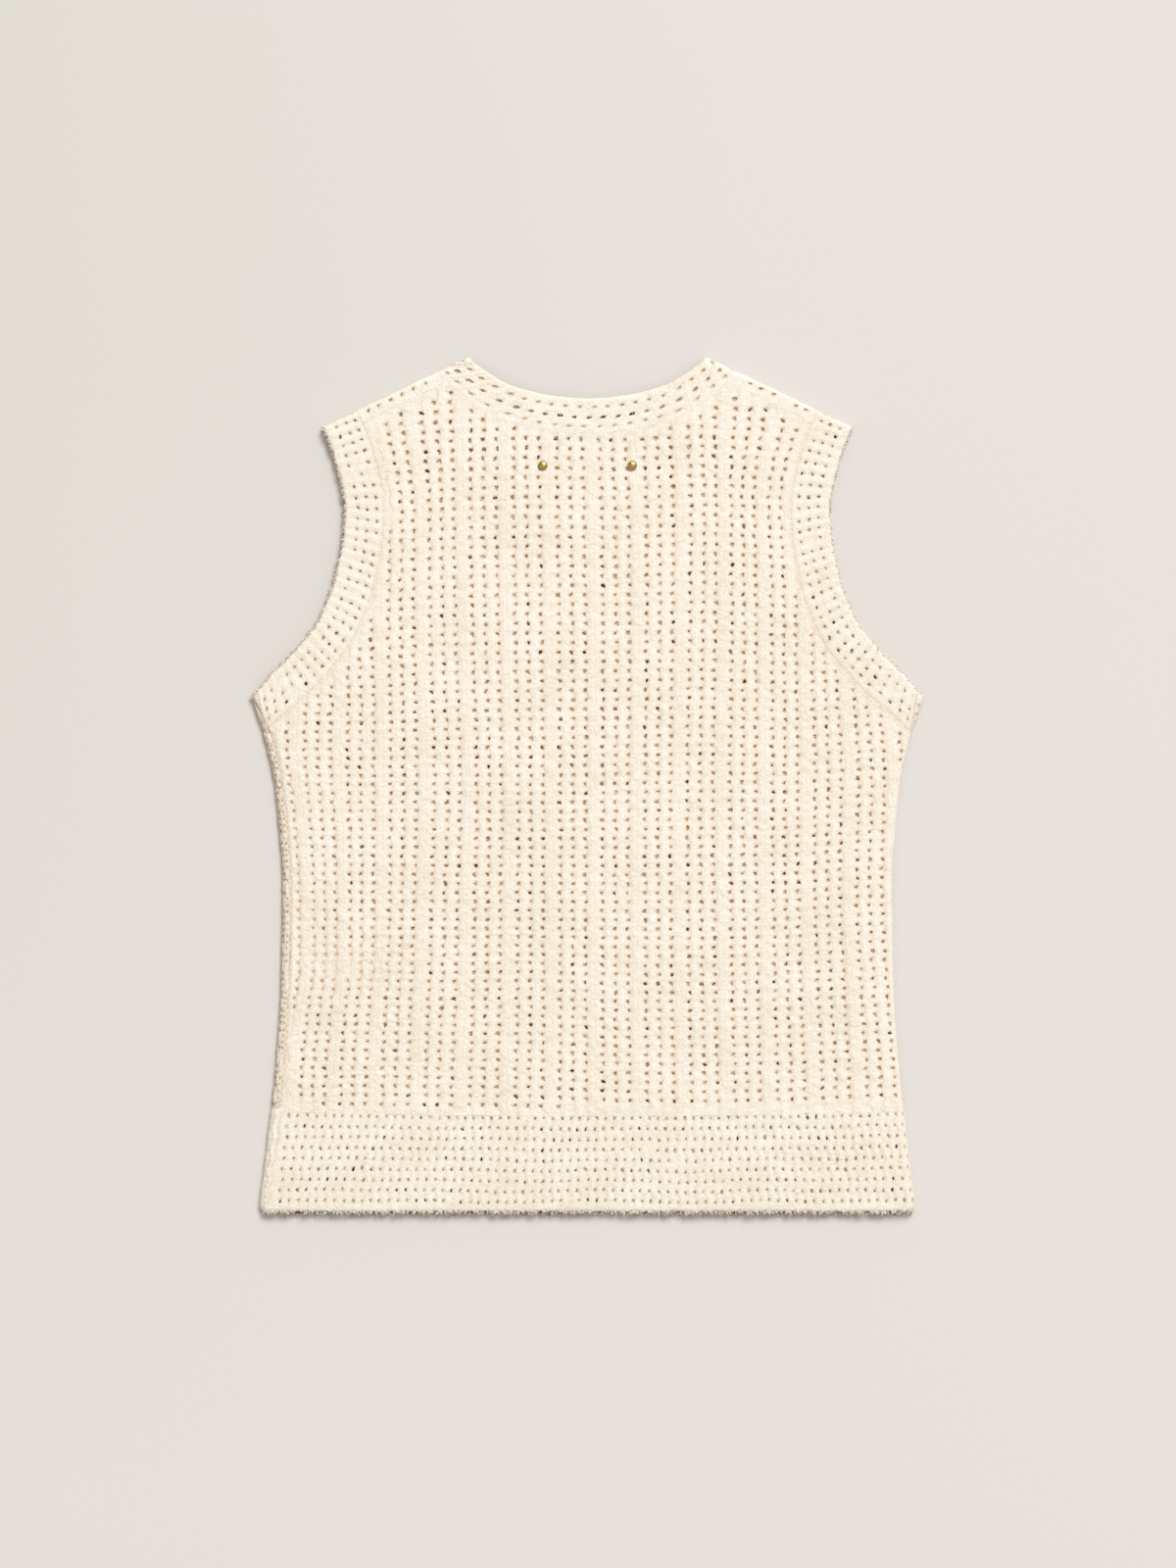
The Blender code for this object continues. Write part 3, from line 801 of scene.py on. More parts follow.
def cloth_material(name, colour, pit_shade):
    """Cream yarn: mottled, with a stitched bump, and painted shade: darker and warmer in the pits, grooves and
    seams and along shaded edges, darker in the knots' hollows and paler on their tops.
    """
    m, nt = nodes_of(name)
    link = nt.links.new
    out = nt.nodes.new("ShaderNodeOutputMaterial")
    bsdf = nt.nodes.new("ShaderNodeBsdfPrincipled")
    link(bsdf.outputs[0], out.inputs[0])
    bsdf.inputs["Roughness"].default_value = 0.93
    bsdf.inputs["Specular IOR Level"].default_value = 0.15
    bsdf.inputs["Sheen Weight"].default_value = 0.10
    bsdf.inputs["Sheen Roughness"].default_value = 0.6
    bsdf.inputs["Sheen Tint"].default_value = (1.0, 0.96, 0.9, 1)
    place = nt.nodes.new("ShaderNodeTexCoord").outputs["Object"]
    uv = nt.nodes.new("ShaderNodeUVMap")
    uv.uv_map = "knit"
    painted_shade = nt.nodes.new("ShaderNodeAttribute")
    painted_shade.attribute_name = "painted_shade"
    tone = nt.nodes.new("ShaderNodeAttribute")
    tone.attribute_name = "tone"
    sep = nt.nodes.new("ShaderNodeSeparateXYZ")
    link(uv.outputs[0], sep.inputs[0])
    u, v = sep.outputs[0], sep.outputs[1]
    fine = noise(nt, place, 1900.0, 3.0, 0.62)
    knots = noise(nt, place, 620.0, 3.0, 0.55)
    patch = noise(nt, place, 26.0, 2.0)

    # stitches: a V in every wale, with the knots bending its legs
    def m_(op, a, b=None):
        return maths(nt, op, a, b)

    wobble = m_("MULTIPLY", m_("SUBTRACT", knots, 0.5), 0.55)
    leg = m_("ABSOLUTE", m_("SUBTRACT", m_("FRACT", m_("ADD", u, wobble)), 0.5))
    slope = m_("ADD", m_("ADD", v, m_("MULTIPLY", leg, -1.1)), wobble)
    yarn = m_("SINE", m_("MULTIPLY", slope, 2 * math.pi))
    valley = m_("MINIMUM", m_("MULTIPLY", leg, 5.0), 1.0)
    stitches = m_("ADD", m_("MULTIPLY", yarn, 0.05), m_("MULTIPLY", valley, 0.2))
    height = m_("ADD", stitches, m_("MULTIPLY", knots, 1.2))
    height = m_("ADD", height, m_("MULTIPLY", fine, 0.7))
    bump = nt.nodes.new("ShaderNodeBump")
    bump.inputs["Strength"].default_value = 0.9
    bump.inputs["Distance"].default_value = 0.0006
    link(height, bump.inputs["Height"])
    link(bump.outputs[0], bsdf.inputs["Normal"])

    # shade and light serve as painted shade in the knots' hollows and a painted highlight on the fine noise's
    # tops, following the bump, and also as random darker and paler tone from the tone attribute and the large
    # patches
    shade = rgb(nt, tuple(c * f for c, f in zip(colour, (0.90, 0.84, 0.74))))
    light = rgb(nt, tuple(min(0.96, c * f) for c, f in zip(colour, (1.05, 1.07, 1.12))))
    c = mix(nt, span(nt, knots, 0.36, 0.62), shade, rgb(nt, colour))
    c = mix(nt, span(nt, fine, 0.52, 0.72, 0, 0.7), c, light)
    c = mix(nt, span(nt, tone.outputs["Fac"], 0, 1, 0, 0.35), c, shade)
    c = mix(nt, span(nt, patch, 0.35, 0.65, 0, 0.3), c, light)
    # the per-point painted shade: towards the tan pit colour up to 1, towards nearly black from 1 to 2
    c = mix(nt, painted_shade.outputs["Fac"], c, rgb(nt, pit_shade))
    c = mix(nt, span(nt, painted_shade.outputs["Fac"], 1, 2), c, rgb(nt, (0.075, 0.032, 0.014)))
    link(c, bsdf.inputs["Base Color"])
    return m


# the second colour of each is the tan of the painted shade
body_mat = cloth_material("cream_body_knit", (0.912, 0.858, 0.766), (0.68, 0.43, 0.23))
band_mat = cloth_material("cream_band_knit", (0.910, 0.853, 0.762), (0.64, 0.45, 0.28))


# ------------------------------------------------------------- the body
COLUMN_PLACES = [
    PHASE + GROUP * g + COLUMN * k for g in range(-9, 8) for k in (-1, 0, 1)
]
ROW_PLACES = [FIRST_ROW + ROW * k for k in range(-2, ROWS)]


def smooth_interp(h, xs, ys):
    return sum(np.interp(h + o, xs, ys) for o in (-18, -9, 0, 9, 18)) / 5


def crept(table, u, v):
    """A creep table's value at each place of the even layout."""
    hs = [row.height for row in table]
    values = [smooth_interp(v, hs, list(column)) for column in list(zip(*table))[1:]]
    at = np.clip(
        (np.asarray(u) - CREEP_PLACES[0]) / (2 * GROUP), 0, len(CREEP_PLACES) - 1.001
    )
    k = np.floor(at).astype(int)
    t = at - k
    values = np.array(np.broadcast_arrays(*values))
    pick = lambda i: np.take_along_axis(values, i[None], 0)[0]
    return pick(k) * (1 - t) + pick(k + 1) * t


def spread(u, v):
    """The grid's columns, laid out as they are drawn in on the garment."""
    hs = [s.height for s in SPREAD]
    kept = smooth_interp(v, hs, [s.kept for s in SPREAD])
    left = smooth_interp(v, hs, [s.left for s in SPREAD])
    right = smooth_interp(v, hs, [s.right for s in SPREAD])
    size = np.abs(u)
    over = np.maximum(size - kept, 0)
    x = np.sign(u) * (np.minimum(size, kept) + over * np.where(u > 0, right, left))
    swing = ZIGZAG * np.cos(math.pi * (v - FIRST_ROW) / ROW)
    return (
        x + swing + crept(CREEP_SIDEWAYS, u, v),
        v + crept(CREEP_UPWARDS, u, v),
    )


def arc(line, start, end, n):
    return [tuple(p) for p in line(np.linspace(start, end, n))]


TUCK = 1.1  # how far a panel goes on under the bands and rolls at its seams


def bottom_line(low_x):
    half = float(side_half(HEM_SIDE))
    line = [(half * s, float(hem_top(s)) - TUCK) for s in np.linspace(-0.99, 0.99, 25)]
    return [p for p in line if p[0] > low_x]


SIDE_STEPS = np.linspace(HEM_SIDE - TUCK, UNDERARM, 30)


def arm_tuck(s):
    return ARM.at(s, np.full(np.shape(s), ARM_BAND - TUCK))


def body_region(neck, neck_end, arm_end, arm_start, left_in):
    """A layer's outline, anticlockwise from its lower left corner. The right side
    goes on to the middle of the fold, the left one stops left_in before it."""
    left = [(-(float(side_half(h)) - left_in), h) for h in SIDE_STEPS]
    pts = bottom_line(left[0][0] + 1)
    pts += [(float(side_half(h)) + FOLD / 2, h) for h in SIDE_STEPS]
    pts += arc(arm_tuck, 0, arm_end, 70)
    top = arc(lambda s: neck.at(s, np.full(len(s), NECK_BAND - TUCK)), neck_end, 0, 50)
    pts += top + [(-x, y) for x, y in reversed(top[:-1])]
    pts += [(-x, y) for x, y in reversed(arc(arm_tuck, arm_start, arm_end, 66))]
    return pts + left[::-1]


def area_of(polygon):
    p = np.array(polygon)
    q = np.roll(p, -1, axis=0)
    return abs(float((p[:, 0] * q[:, 1] - p[:, 1] * q[:, 0]).sum())) / 2


BACK_REGION = body_region(NECK, neck_flap + 1.5, arm_flap + 1.5, 2.0, 1.6)
FRONT_REGION = body_region(NECK_F, NECK_F.edge.length, ARM.edge.length, 0, 0.0)


def on_back(x, y, h):
    e = side_half(y)
    a = np.maximum(x - e, 0) / TURN
    over = (x > e) & (y < UNDERARM + 0.5)
    X = np.where(over, e + (TURN + h) * np.sin(a), x)
    Z = np.where(over, MIDDLE + (TURN + h) * np.cos(a), HIGH + h)
    return np.stack([X, y, Z], axis=1)


def on_front(x, y, h):
    e = side_half(y)
    a = np.maximum(x - e, 0) / TURN
    over = (x > e) & (y < UNDERARM + 0.5)
    X = np.where(over, e + (TURN + h) * np.sin(a), x)
    Z = np.where(over, MIDDLE - (TURN + h) * np.cos(a), -h)
    return np.stack([X, y, np.maximum(Z, 0.02)], axis=1)


def from_column(u):
    """How far each place is from the column of holes to its left, and whether the
    gap that it lies in is a wide rib."""
    places = np.array(COLUMN_PLACES)
    k = np.clip(np.searchsorted(places, u + 2.4) - 1, 0, len(places) - 1)
    return u - places[k], (k % 3) == 2


def beside_roll(x, y):
    """Where a layer's edge folds under beside the front's roll."""
    return (y < UNDERARM) & (y > HEM_SIDE + 1) & (x < 4.5 - side_half(y))


def body_relief(seed, table, lift):
    def relief(u, v, x, y, dist):
        du, rib = from_column(u)
        r = 0.6 + 0.45 * waves(u * 3, v, seed, 14, 40)
        h = -0.30 * bell(du - 1.75, 0.5) * np.clip(r, 0.3, 1.1)
        h -= 0.12 * bell(du, 1.3)
        knob = np.cos(2 * math.pi * (v - FIRST_ROW) / (ROW / 2) + 0.9 * np.sin(u))
        wale = bell(du - 4.4, 1.7)
        h += (0.08 + 0.05 * knob) * wale
        streak = np.cos(2 * math.pi * (du - 3.3) / 2.75)
        h += np.where(rib & (du > 2.2), 0.10 * streak + 0.03 * knob + 0.04, 0)
        h += 0.10 * waves(x, y, seed + 1, 9, 22) + 0.22 * waves(x, y, seed + 2, 40, 120)
        h = (h + creases(x, y, table)) * (1 - 0.92 * bell(dist, 2.4))
        left = beside_roll(x, y)
        h += np.where(left, -1.5 * bell(dist, 1.3), 0)
        return h + lift

    return relief


def body_painted_shade(seed):
    def painted_shade_at(u, v, x, y, dist):
        # Painted shade: tan in each column's groove and beside its holes, in the troughs of the ribs' streaks,
        # stronger where the holes close up; a dark painted shade line with ticks where the layer's edge folds
        # under beside the roll; a tan painted shade line along the arm seam.
        du, rib = from_column(u)
        r = 0.55 + 0.5 * waves(u * 3, v, seed, 8, 26)
        out = 0.40 * bell(du - 1.75, 0.5) * np.clip(r, 0.1, 1.2)
        out += 0.07 * bell(du, 1.3)
        streak = np.cos(2 * math.pi * (du - 3.3) / 2.75)
        out += np.where(rib & (du > 2.2), 0.05 - 0.05 * streak, 0)
        closed = np.exp(-(((x + 172) / 46) ** 2) - ((y - 172) / 34) ** 2)
        closed += np.exp(-(((x + 201) / 6) ** 2) - ((y - 230) / 90) ** 2)
        out *= 1 + 0.9 * closed
        left = beside_roll(x, y)
        ticks = 0.40 + 0.35 * np.cos(2 * math.pi * y / 4.3)
        out = out + np.where(left, ticks * bell(dist, 1.0), 0)
        near = np.where((dist < 4) & (dist > -1) & ~left)
        away = np.hypot(
            np.abs(x[near])[:, None] - ARM_SEAM[:, 0], y[near][:, None] - ARM_SEAM[:, 1]
        ).min(1)
        out[near] += 0.16 * bell(away, 1.8)
        return out

    return painted_shade_at


def body_hole(open_at, deepness, strands=True):
    def hole(k, m, x, y, r):
        size = open_at(x, y) * r.normal(1.0, 0.16)
        if size < 0.18 or y < float(hem_top(x / 218)) + 5.2:
            return None
        off = float(np.hypot(abs(x) - ARM_SEAM[:, 0], y - ARM_SEAM[:, 1]).min())
        if off < 3.2 or below_shoulder((abs(x), y)) < 15.5:
            return None
        size *= min(1.0, 0.62 + 0.06 * max(off - 3.2, 0))
        size = min(size, 1.25)
        point = math.pi / 2 if (k + m) % 2 else -math.pi / 2
        slim = r.uniform(0.05, 0.4)
        return Hole(
            r.normal(0, 0.18),
            r.normal(0, 0.18),
            1.12 * size * (1 + slim * 0.6),
            1.12 * size * (1 - slim),
            r.uniform(0, math.pi),
            point + r.normal(0, 0.5),
            r.uniform(0.10, 0.30),
            deepness * r.uniform(0.6, 1.15),
            int(r.choice([0, 1, 2], p=[0.35, 0.45, 0.20])) if strands else 0,
            # how dark the hole's bottom is painted, as painted shade
            painted_hole_shade(r, black_at(x, y)),
            r.random() < 0.85,
        )

    return hole


ARM_SEAM = ARM.seam(np.linspace(0, ARM.edge.length, 90))


def black_at(x, y):
    """The share of holes whose bottoms are painted nearly black, as painted shade: more at the middle,
    below the neck, and in a few columns, where the two layers' holes lie over each other."""
    over = 0.26 * bell(x + 44, 8) + 0.24 * bell(x + 12, 8)
    over += 0.30 * bell(x - 75, 9) * bell(y - 440, 80)
    over *= 0.65 + 0.35 * math.cos(y / 23.0)
    return 0.04 + over + 0.40 * math.exp(-((x / 60) ** 2) - ((y - 540) / 12) ** 2)


def open_back(x, y):
    closing = 0.85 * math.exp(-(((x + 166) / 42) ** 2) - ((y - 171) / 18) ** 2)
    closing += 0.28 * math.exp(-(((x + 196) / 20) ** 2) - ((y - 235) / 70) ** 2)
    closing += 0.35 * math.exp(-(((x + 202) / 5) ** 2) - ((y - 230) / 80) ** 2)
    closing -= 0.2 * math.exp(-(((abs(x) - 95) / 45) ** 2) - ((y - 530) / 32) ** 2)
    return 1.0 - closing + 0.05 * math.sin(x / 31.0 + 1.2) * math.sin(y / 47.0)


def open_front(x, y):
    return 0.95 + 0.06 * math.sin(x / 37.0) * math.cos(y / 41.0)


back_across = grid_lines(
    COLUMN_PLACES, (-2.3, -1.1, 0, 1.1, 1.75, 2.5), -250.0, 250.0, 1.45
)
back_up = grid_lines(ROW_PLACES, (-2.1, -1.0, 0, 1.0, 2.1), 58.0, 582.0, 1.3)
back_pieces = knit(
    "back_knit",
    back_across,
    back_up,
    on_back,
    body_relief(21, CREASES_BACK, 0.0),
    body_hole(open_back, 1.5),
    body_mat,
    31,
    warp=spread,
    region=BACK_REGION,
    margin=3.4,
    split=4.4,
    rough=0.2,
    painted_shade_at=body_painted_shade(25),
)
front_across = grid_lines(COLUMN_PLACES, (-1.1, 0, 1.1, 2.4), -250.0, 250.0, 2.1)
front_up = grid_lines(ROW_PLACES, (-1.0, 0, 1.0), 56.0, 586.0, 2.2)
front_relief = body_relief(61, CREASES_FRONT, -0.55)


def spread_front(u, v):
    x, y = spread(u, v)
    return x + 1.1 * waves(x, v, 14, 90, 200), y + 1.4


front_pieces = knit(
    "front_knit",
    front_across,
    front_up,
    on_front,
    lambda u, v, x, y, d: np.minimum(front_relief(u, v, x, y, d), -0.02),
    body_hole(open_front, 2.0, False),
    body_mat,
    71,
    warp=spread_front,
    region=FRONT_REGION,
    margin=3.4,
    back=4.6,
    flip=True,
    split=4.4,
    painted_shade_at=body_painted_shade(65),
)


# ------------------------------------------- the front's rolls onto the back
TICK = 4.3  # between the small holes along the left roll


def side_roll():
    """The front's cloth round the left side: along the side, then across the roll."""
    cols = [HEM_SIDE + 4.5 + TICK * k for k in range(int((UNDERARM - HEM_SIDE - 8) / TICK))]
    rows = [FOLD * 0.62, FOLD * 0.93, FOLD + 3.3]
    across = grid_lines(cols, (-1.0, 0, 1.0), HEM_SIDE + 0.6, UNDERARM, 0.9)
    up = grid_lines(rows, (-1.6, -0.7, 0, 0.7, 1.6), -0.6, FOLD + SIDE_ROLL, 0.9)
    low = HEM_SIDE + 0.6
    seam = ARM.seam(np.linspace(0, arm_roll, 12))

    def warp(u, v):
        share = (u - low) / (UNDERARM - low)
        on = np.clip(v - FOLD, 0, SIDE_ROLL)
        rise = np.interp(on, seam[0][0] - seam[:, 0], seam[:, 1]) - UNDERARM
        sway = 0.5 * waves(u, v, 45, 50, 130) * np.clip((v - FOLD) / 4, 0, 1)
        return u + rise * np.clip(share, 0, 1) ** 6, v + sway

    def place(x, y, h):
        e = side_half(np.minimum(x, UNDERARM))
        a = np.clip(y, 0, FOLD) / TURN
        h = h - 1.5 * np.clip((y - FOLD * 0.5) / (FOLD * 0.5), 0, 1)
        X = e + (TURN + h) * np.sin(a)
        Z = MIDDLE - (TURN + h) * np.cos(a)
        X = np.where(y < 0, e + y, X)
        X = np.where(y > FOLD, e - (y - FOLD), X)
        Z = np.where(y > FOLD, HIGH + h, Z)
        Z = np.where(y < 0, -h, Z)
        return np.stack([-X, x, np.maximum(Z, 0.02)], axis=1)

    def relief(u, v, x, y, dist):
        h = -0.3 * bell(v - rows[0] - 1.3, 0.5) - 0.3 * bell(v - rows[1] - 1.3, 0.5)
        h += 0.34 * np.cos(2 * math.pi * (u - cols[0] + 1.4 * v) / 2.2)
        h += 0.2 * waves(u, v * 2, 46, 4, 12)
        h += -0.4 * bell(u - low, 1.0) - 0.3 * bell(UNDERARM - u, 1.0)
        return np.where(v < 1.0, np.minimum(h, -0.05), h)

    def painted_shade_at(u, v, x, y, dist):
        # Painted shade on the roll, which faces away from the light: tan all over, deeper in the hatch troughs,
        # and a dark painted shadow line along the outer fold; the waves make it uneven.
        ticks = np.clip(np.cos(2 * math.pi * (u - cols[0] + 1.4 * v) / 2.2), -1, 0)
        edge = 0.9 * bell(v - FOLD * 0.42, 0.8) * (0.6 + 0.5 * waves(u, 0 * u, 49, 3, 9))
        return 0.08 + edge - 0.14 * ticks + 0.12 * waves(u, v * 2, 48, 3, 9)

    def hole(k, m, x, y, r):
        if r.random() < (0.2, 0.35, 0.5)[m]:
            return None
        s = r.uniform(0.6, 1.0)
        return Hole(
            r.normal(0, 0.5), r.normal(0, 0.2), 0.9 * s, 0.5 * s, r.normal(0.5, 0.3), 0, 0.15,
            1.2, 0, r.uniform(1.1, 1.8), True,
        )

    return knit(
        "front_roll_side", across, up, place, relief, hole, body_mat, 47, warp=warp,
        flip=True, stitch=(3.172, 3.0), painted_shade_at=painted_shade_at,
    )


SHOULDER_ENDS = (ARM.seam(ARM.edge.length), NECK.seam(NECK.edge.length))
SHOULDER_ON = (ARM.seam(arm_flap), NECK.seam(neck_flap))
SHOULDER_LONG = float(np.linalg.norm(SHOULDER_ENDS[1] - SHOULDER_ENDS[0]))


def shoulder_roll(sign):
    """The front's cloth over a shoulder, from the arm to the neck, then across."""
    long = SHOULDER_LONG
    pitch = 8.6
    cols = [5.0 + pitch * k for k in range(int((long - 8) / pitch) + 1)]
    rows = [FOLD + 0.2]
    across = grid_lines(cols, (-1.3, 0, 1.3), -1.6, long + 1.6, 1.6)
    up = grid_lines(
        rows, (-2.1, -1.0, 0, 1.0, 2.1), -0.6, FOLD + SHOULDER_ROLL + 1.4, 1.25
    )

    def place(x, y, h):
        on = np.clip((y - FOLD) / SHOULDER_ROLL, 0, 1.2)[:, None]
        start = SHOULDER_ENDS[0] * (1 - on) + SHOULDER_ON[0] * on
        end = SHOULDER_ENDS[1] * (1 - on) + SHOULDER_ON[1] * on
        p = start + (end - start) * (x / long)[:, None]
        a = np.clip(y, 0, FOLD) / TURN
        out = np.where(y < 0, y, np.where(y > FOLD, 0, (TURN + h) * np.sin(a)))
        p = p + OUTWARD * out[:, None]
        Z = np.where(y > FOLD, HIGH + h, MIDDLE - (TURN + h) * np.cos(a))
        Z = np.where(y < 0, -h, Z)
        return np.stack([sign * p[:, 0], p[:, 1], np.maximum(Z, 0.02)], axis=1)

    def relief(u, v, x, y, dist):
        h = 0.10 * np.cos(2 * math.pi * v / 2.6)
        h += 0.16 * np.cos(2 * math.pi * (u + 0.6 * v) / 3.1)
        h += 0.22 * waves(u, v, 51 + int(sign), 12, 34)
        h += under_seam(v, FOLD + SHOULDER_ROLL - 0.4)
        return np.where(v < 1.0, np.minimum(h, -0.05), h)

    def hole(k, m, x, y, r):
        if r.random() < 0.15:
            return None
        s = r.uniform(0.7, 1.05)
        lean = r.uniform(0.4, 1.4) * sign
        return Hole(
            r.normal(0, 0.5), r.normal(0, 0.35), 1.35 * s, 0.85 * s, lean, 0, 0.2, 1.3, 1,
            r.uniform(0.8, 1.5), True,
        )

    side = "right" if sign > 0 else "left"
    return knit(
        f"front_roll_shoulder_{side}", across, up, place, relief, hole, body_mat,
        53 + int(sign), flip=sign < 0, stitch=(3.1, 3.0),
    )


side_piece = side_roll()
shoulder_pieces = [shoulder_roll(-1), shoulder_roll(1)]


# ---------------------------------------------------------------- the bands
def rounded(v):
    """A band's across coordinate: below ROUND it turns round the open edge.
    Returns the distance from the edge and the height of the bare surface."""
    a = np.clip((ROUND - v) / ROUND, 0, math.pi)
    return np.where(v < ROUND, ROUND - ROUND * np.sin(a), v), ROUND * (np.cos(a) - 1)


def ring_place(runs, sign=1, peek=0.0, ragged=1.0):
    """place() for a band that closes on itself. runs are (kind, length, function):
    flat runs on the back or the front, folds down and up between them. The open
    edge is ragged, and the front's one shows by peek beside the back's."""
    total = sum(r[1] for r in runs)

    def place(x, y, h):
        c, bare = rounded(y)
        at_edge = np.clip((3.5 - y) / 3.5, 0, 1)
        uneven = 0.26 * waves(x, 0 * x, 77, 2.5, 7) + 0.2 * waves(x, 0 * x, 78, 9, 30)
        c = c - ragged * at_edge * uneven
        turned = y < ROUND * (1 - math.pi / 2)
        h = np.where(turned, -h * 0.5, h * np.clip((y + 1.2) / 2.4, 0.25, 1)) + bare
        t = np.mod(x, total)
        P = np.zeros((len(x), 2))
        Z = np.zeros(len(x))
        start = 0.0
        for kind, long, at in runs:
            here = (t >= start) & (t <= start + long)
            q = t[here] - start
            if kind in ("back", "front"):
                inner = np.clip(q / 14, 0, 1) * np.clip((long - q) / 14, 0, 1)
                more = peek * inner * at_edge[here] if kind == "front" else 0
                P[here] = at(q, c[here] - more)
                Z[here] = HIGH + h[here] if kind == "back" else -h[here]
            else:
                a = q / TURN
                base, way = at(c[here])
                out = (TURN + h[here]) * np.sin(a)
                P[here] = base + np.asarray(way) * out[:, None]
                up = (TURN + h[here]) * np.cos(a)
                Z[here] = MIDDLE + (up if kind == "down" else -up)
            start += long
        return np.stack([sign * P[:, 0], P[:, 1], np.maximum(Z, 0.02)], axis=1)

    return place


def taper(v, width):
    """0 at a band's edge and seam, 1 in between, for what sways its grid."""
    return np.clip(v / 6, 0, 1) * np.clip((width - v) / 6, 0, 1)


# armholes
def underarm_way(c):
    """Where the underarm fold points: down at the open edge, sideways at the seam."""
    t = 1 - np.clip(c / ARM_BAND, 0, 1)
    return np.stack([1 + 0.15 * t, -1.0 * t], axis=1)


ARM_LONG = ARM.edge.length
ARM_ROUND = 2 * ARM_LONG + 2 * FOLD
ARM_WALES = round(ARM_ROUND / 6.8)
ARM_PITCH = ARM_ROUND / ARM_WALES
ARM_ROWS_AT = [8.3, 15.3, 21.9]
ARM_RUNS = [
    ("back", ARM_LONG, lambda q, c: ARM.at(q, c)),
    ("down", FOLD, lambda c: (ARM.at(np.full(len(c), ARM_LONG), c), OUTWARD)),
    ("front", ARM_LONG, lambda q, c: ARM.at(ARM_LONG - q, c)),
    ("up", FOLD, lambda c: (ARM.at(np.zeros(len(c)), c), underarm_way(c))),
]


def arm_place(sign):
    return ring_place(ARM_RUNS, sign, *((0.9, 1.0) if sign < 0 else (0.0, 0.5)))


def arm_knit(sign):
    side = "right" if sign > 0 else "left"
    seed = 83 if sign > 0 else 183
    cols = [ARM_PITCH * (k + 0.5) for k in range(ARM_WALES)]
    across = grid_lines(cols, (-1.9, -0.85, 0, 0.85, 1.9), 0.0, ARM_ROUND, 1.5)
    up = grid_lines(
        ARM_ROWS_AT, (-1.9, -0.85, 0, 0.85, 1.9), -3.2, ARM_BAND + 0.7, 1.35,
        also=(ARM_BAND - 0.1,),
    )

    def ring(u, v, k, low, high):
        return ring_waves(u, v, ARM_ROUND, seed + k, low, high)

    def warp(u, v):
        return (
            u - 0.10 * (v - 15) + 0.35 * ring(u, v, 1, 30, 90),
            v + 0.4 * ring(u, v, 2, 35, 100) * taper(v, ARM_BAND),
        )

    def relief(u, v, x, y, dist):
        du = np.abs(np.mod(u, ARM_PITCH) - ARM_PITCH / 2)
        h = 0.14 - 0.34 * bell(du, 0.7)
        h += 0.14 * np.cos(2 * math.pi * v / 3.1 + 0.8 * np.sin(u * 0.7))
        h += 0.14 * ring(u, v * 1.7, 3, 10, 30) + 0.15 * ring(u, v, 4, 40, 110)
        h = h * (1 - 0.9 * bell(v - ARM_BAND + 1, 2.6)) - 0.15 * bell(v - 26.0, 1.0)
        h += under_seam(v, ARM_BAND)
        low = (u > ARM_LONG + FOLD * 0.75) & (u < 2 * ARM_LONG + FOLD * 1.25)
        h = np.where(low, np.minimum(h - 0.35, -0.02), h)
        if sign < 0:  # the front's edge shows beside the back's at the underarm
            off = roll_line(u, v)
            h = h - 1.0 * bell(off, 0.8) - np.where((off < 0) & ~low, 0.6, 0)
        return h

    def roll_line(u, v):
        """How far a place is from the line where the back's edge folds under."""
        at = np.where(u > ARM_ROUND / 2, u - ARM_ROUND, u)
        return at + FOLD * 0.5 - (FOLD * 0.5 + 2.2) * np.clip(v / ARM_BAND, 0, 1)

    def painted_shade_at(u, v, x, y, dist):
        # Painted shade: tan in each wale's groove and along the seam, and on the open edge's rim, more on the
        # left band, on the shaded side.
        du = np.abs(np.mod(u, ARM_PITCH) - ARM_PITCH / 2)
        out = 0.16 * bell(du, 0.7) + 0.22 * bell(v - 26.9, 1.1)
        out += (0.3 if sign < 0 else 0.08) * np.clip((0.4 - v) / 2.5, 0, 1)
        if sign < 0:
            # The left front's lower edge is painted dark, a painted shadow, and a painted shade line follows
            # where the back's edge folds under at the underarm.
            low = (u > ARM_LONG + FOLD) & (u < ARM_ROUND - FOLD)
            dark = 0.9 + 0.3 * ring(u, v, 6, 6, 20)
            out += np.where(low, dark * np.clip((1.5 - v) / 2, 0, 1), 0)
            off = roll_line(u, v)
            at = np.where(u > ARM_ROUND / 2, u - ARM_ROUND, u)
            near = (at > -FOLD) & (at < 12)
            out += np.where(near, 0.6 * bell(off, 0.9) + np.where(off < 0, 0.15, 0), 0)
        return out

    def hole(k, m, x, y, r):
        s = r.normal(0.84, 0.26) * (0.9 if m == 0 else 1.0)
        if s < 0.42:
            return None
        return Hole(
            r.normal(0, 0.3),
            r.normal(0, 0.3),
            0.95 * s,
            0.72 * s,
            r.uniform(0, math.pi),
            r.uniform(0, 6.28),
            r.uniform(0.05, 0.28),
            1.3,
            int(r.random() < 0.4),
            r.uniform(0.5, 1.5),
            r.random() < 0.8,
        )

    return knit(
        f"armhole_knit_{side}", across, up, arm_place(sign), relief, hole,
        band_mat, seed, warp=warp, closed=True, flip=sign < 0,
        stitch=(ARM_PITCH / 2, 3.1), painted_shade_at=painted_shade_at,
    )


arm_pieces = [arm_knit(-1), arm_knit(1)]

# neck
NECK_LONG, NECK_F_LONG = NECK.edge.length, NECK_F.edge.length
NECK_ROUND = 2 * (NECK_LONG + NECK_F_LONG + FOLD)
NECK_WALES = round(NECK_ROUND / 9.3)
NECK_PITCH = NECK_ROUND / NECK_WALES
NECK_ROWS_AT = [6.5, 13.6, 20.1]


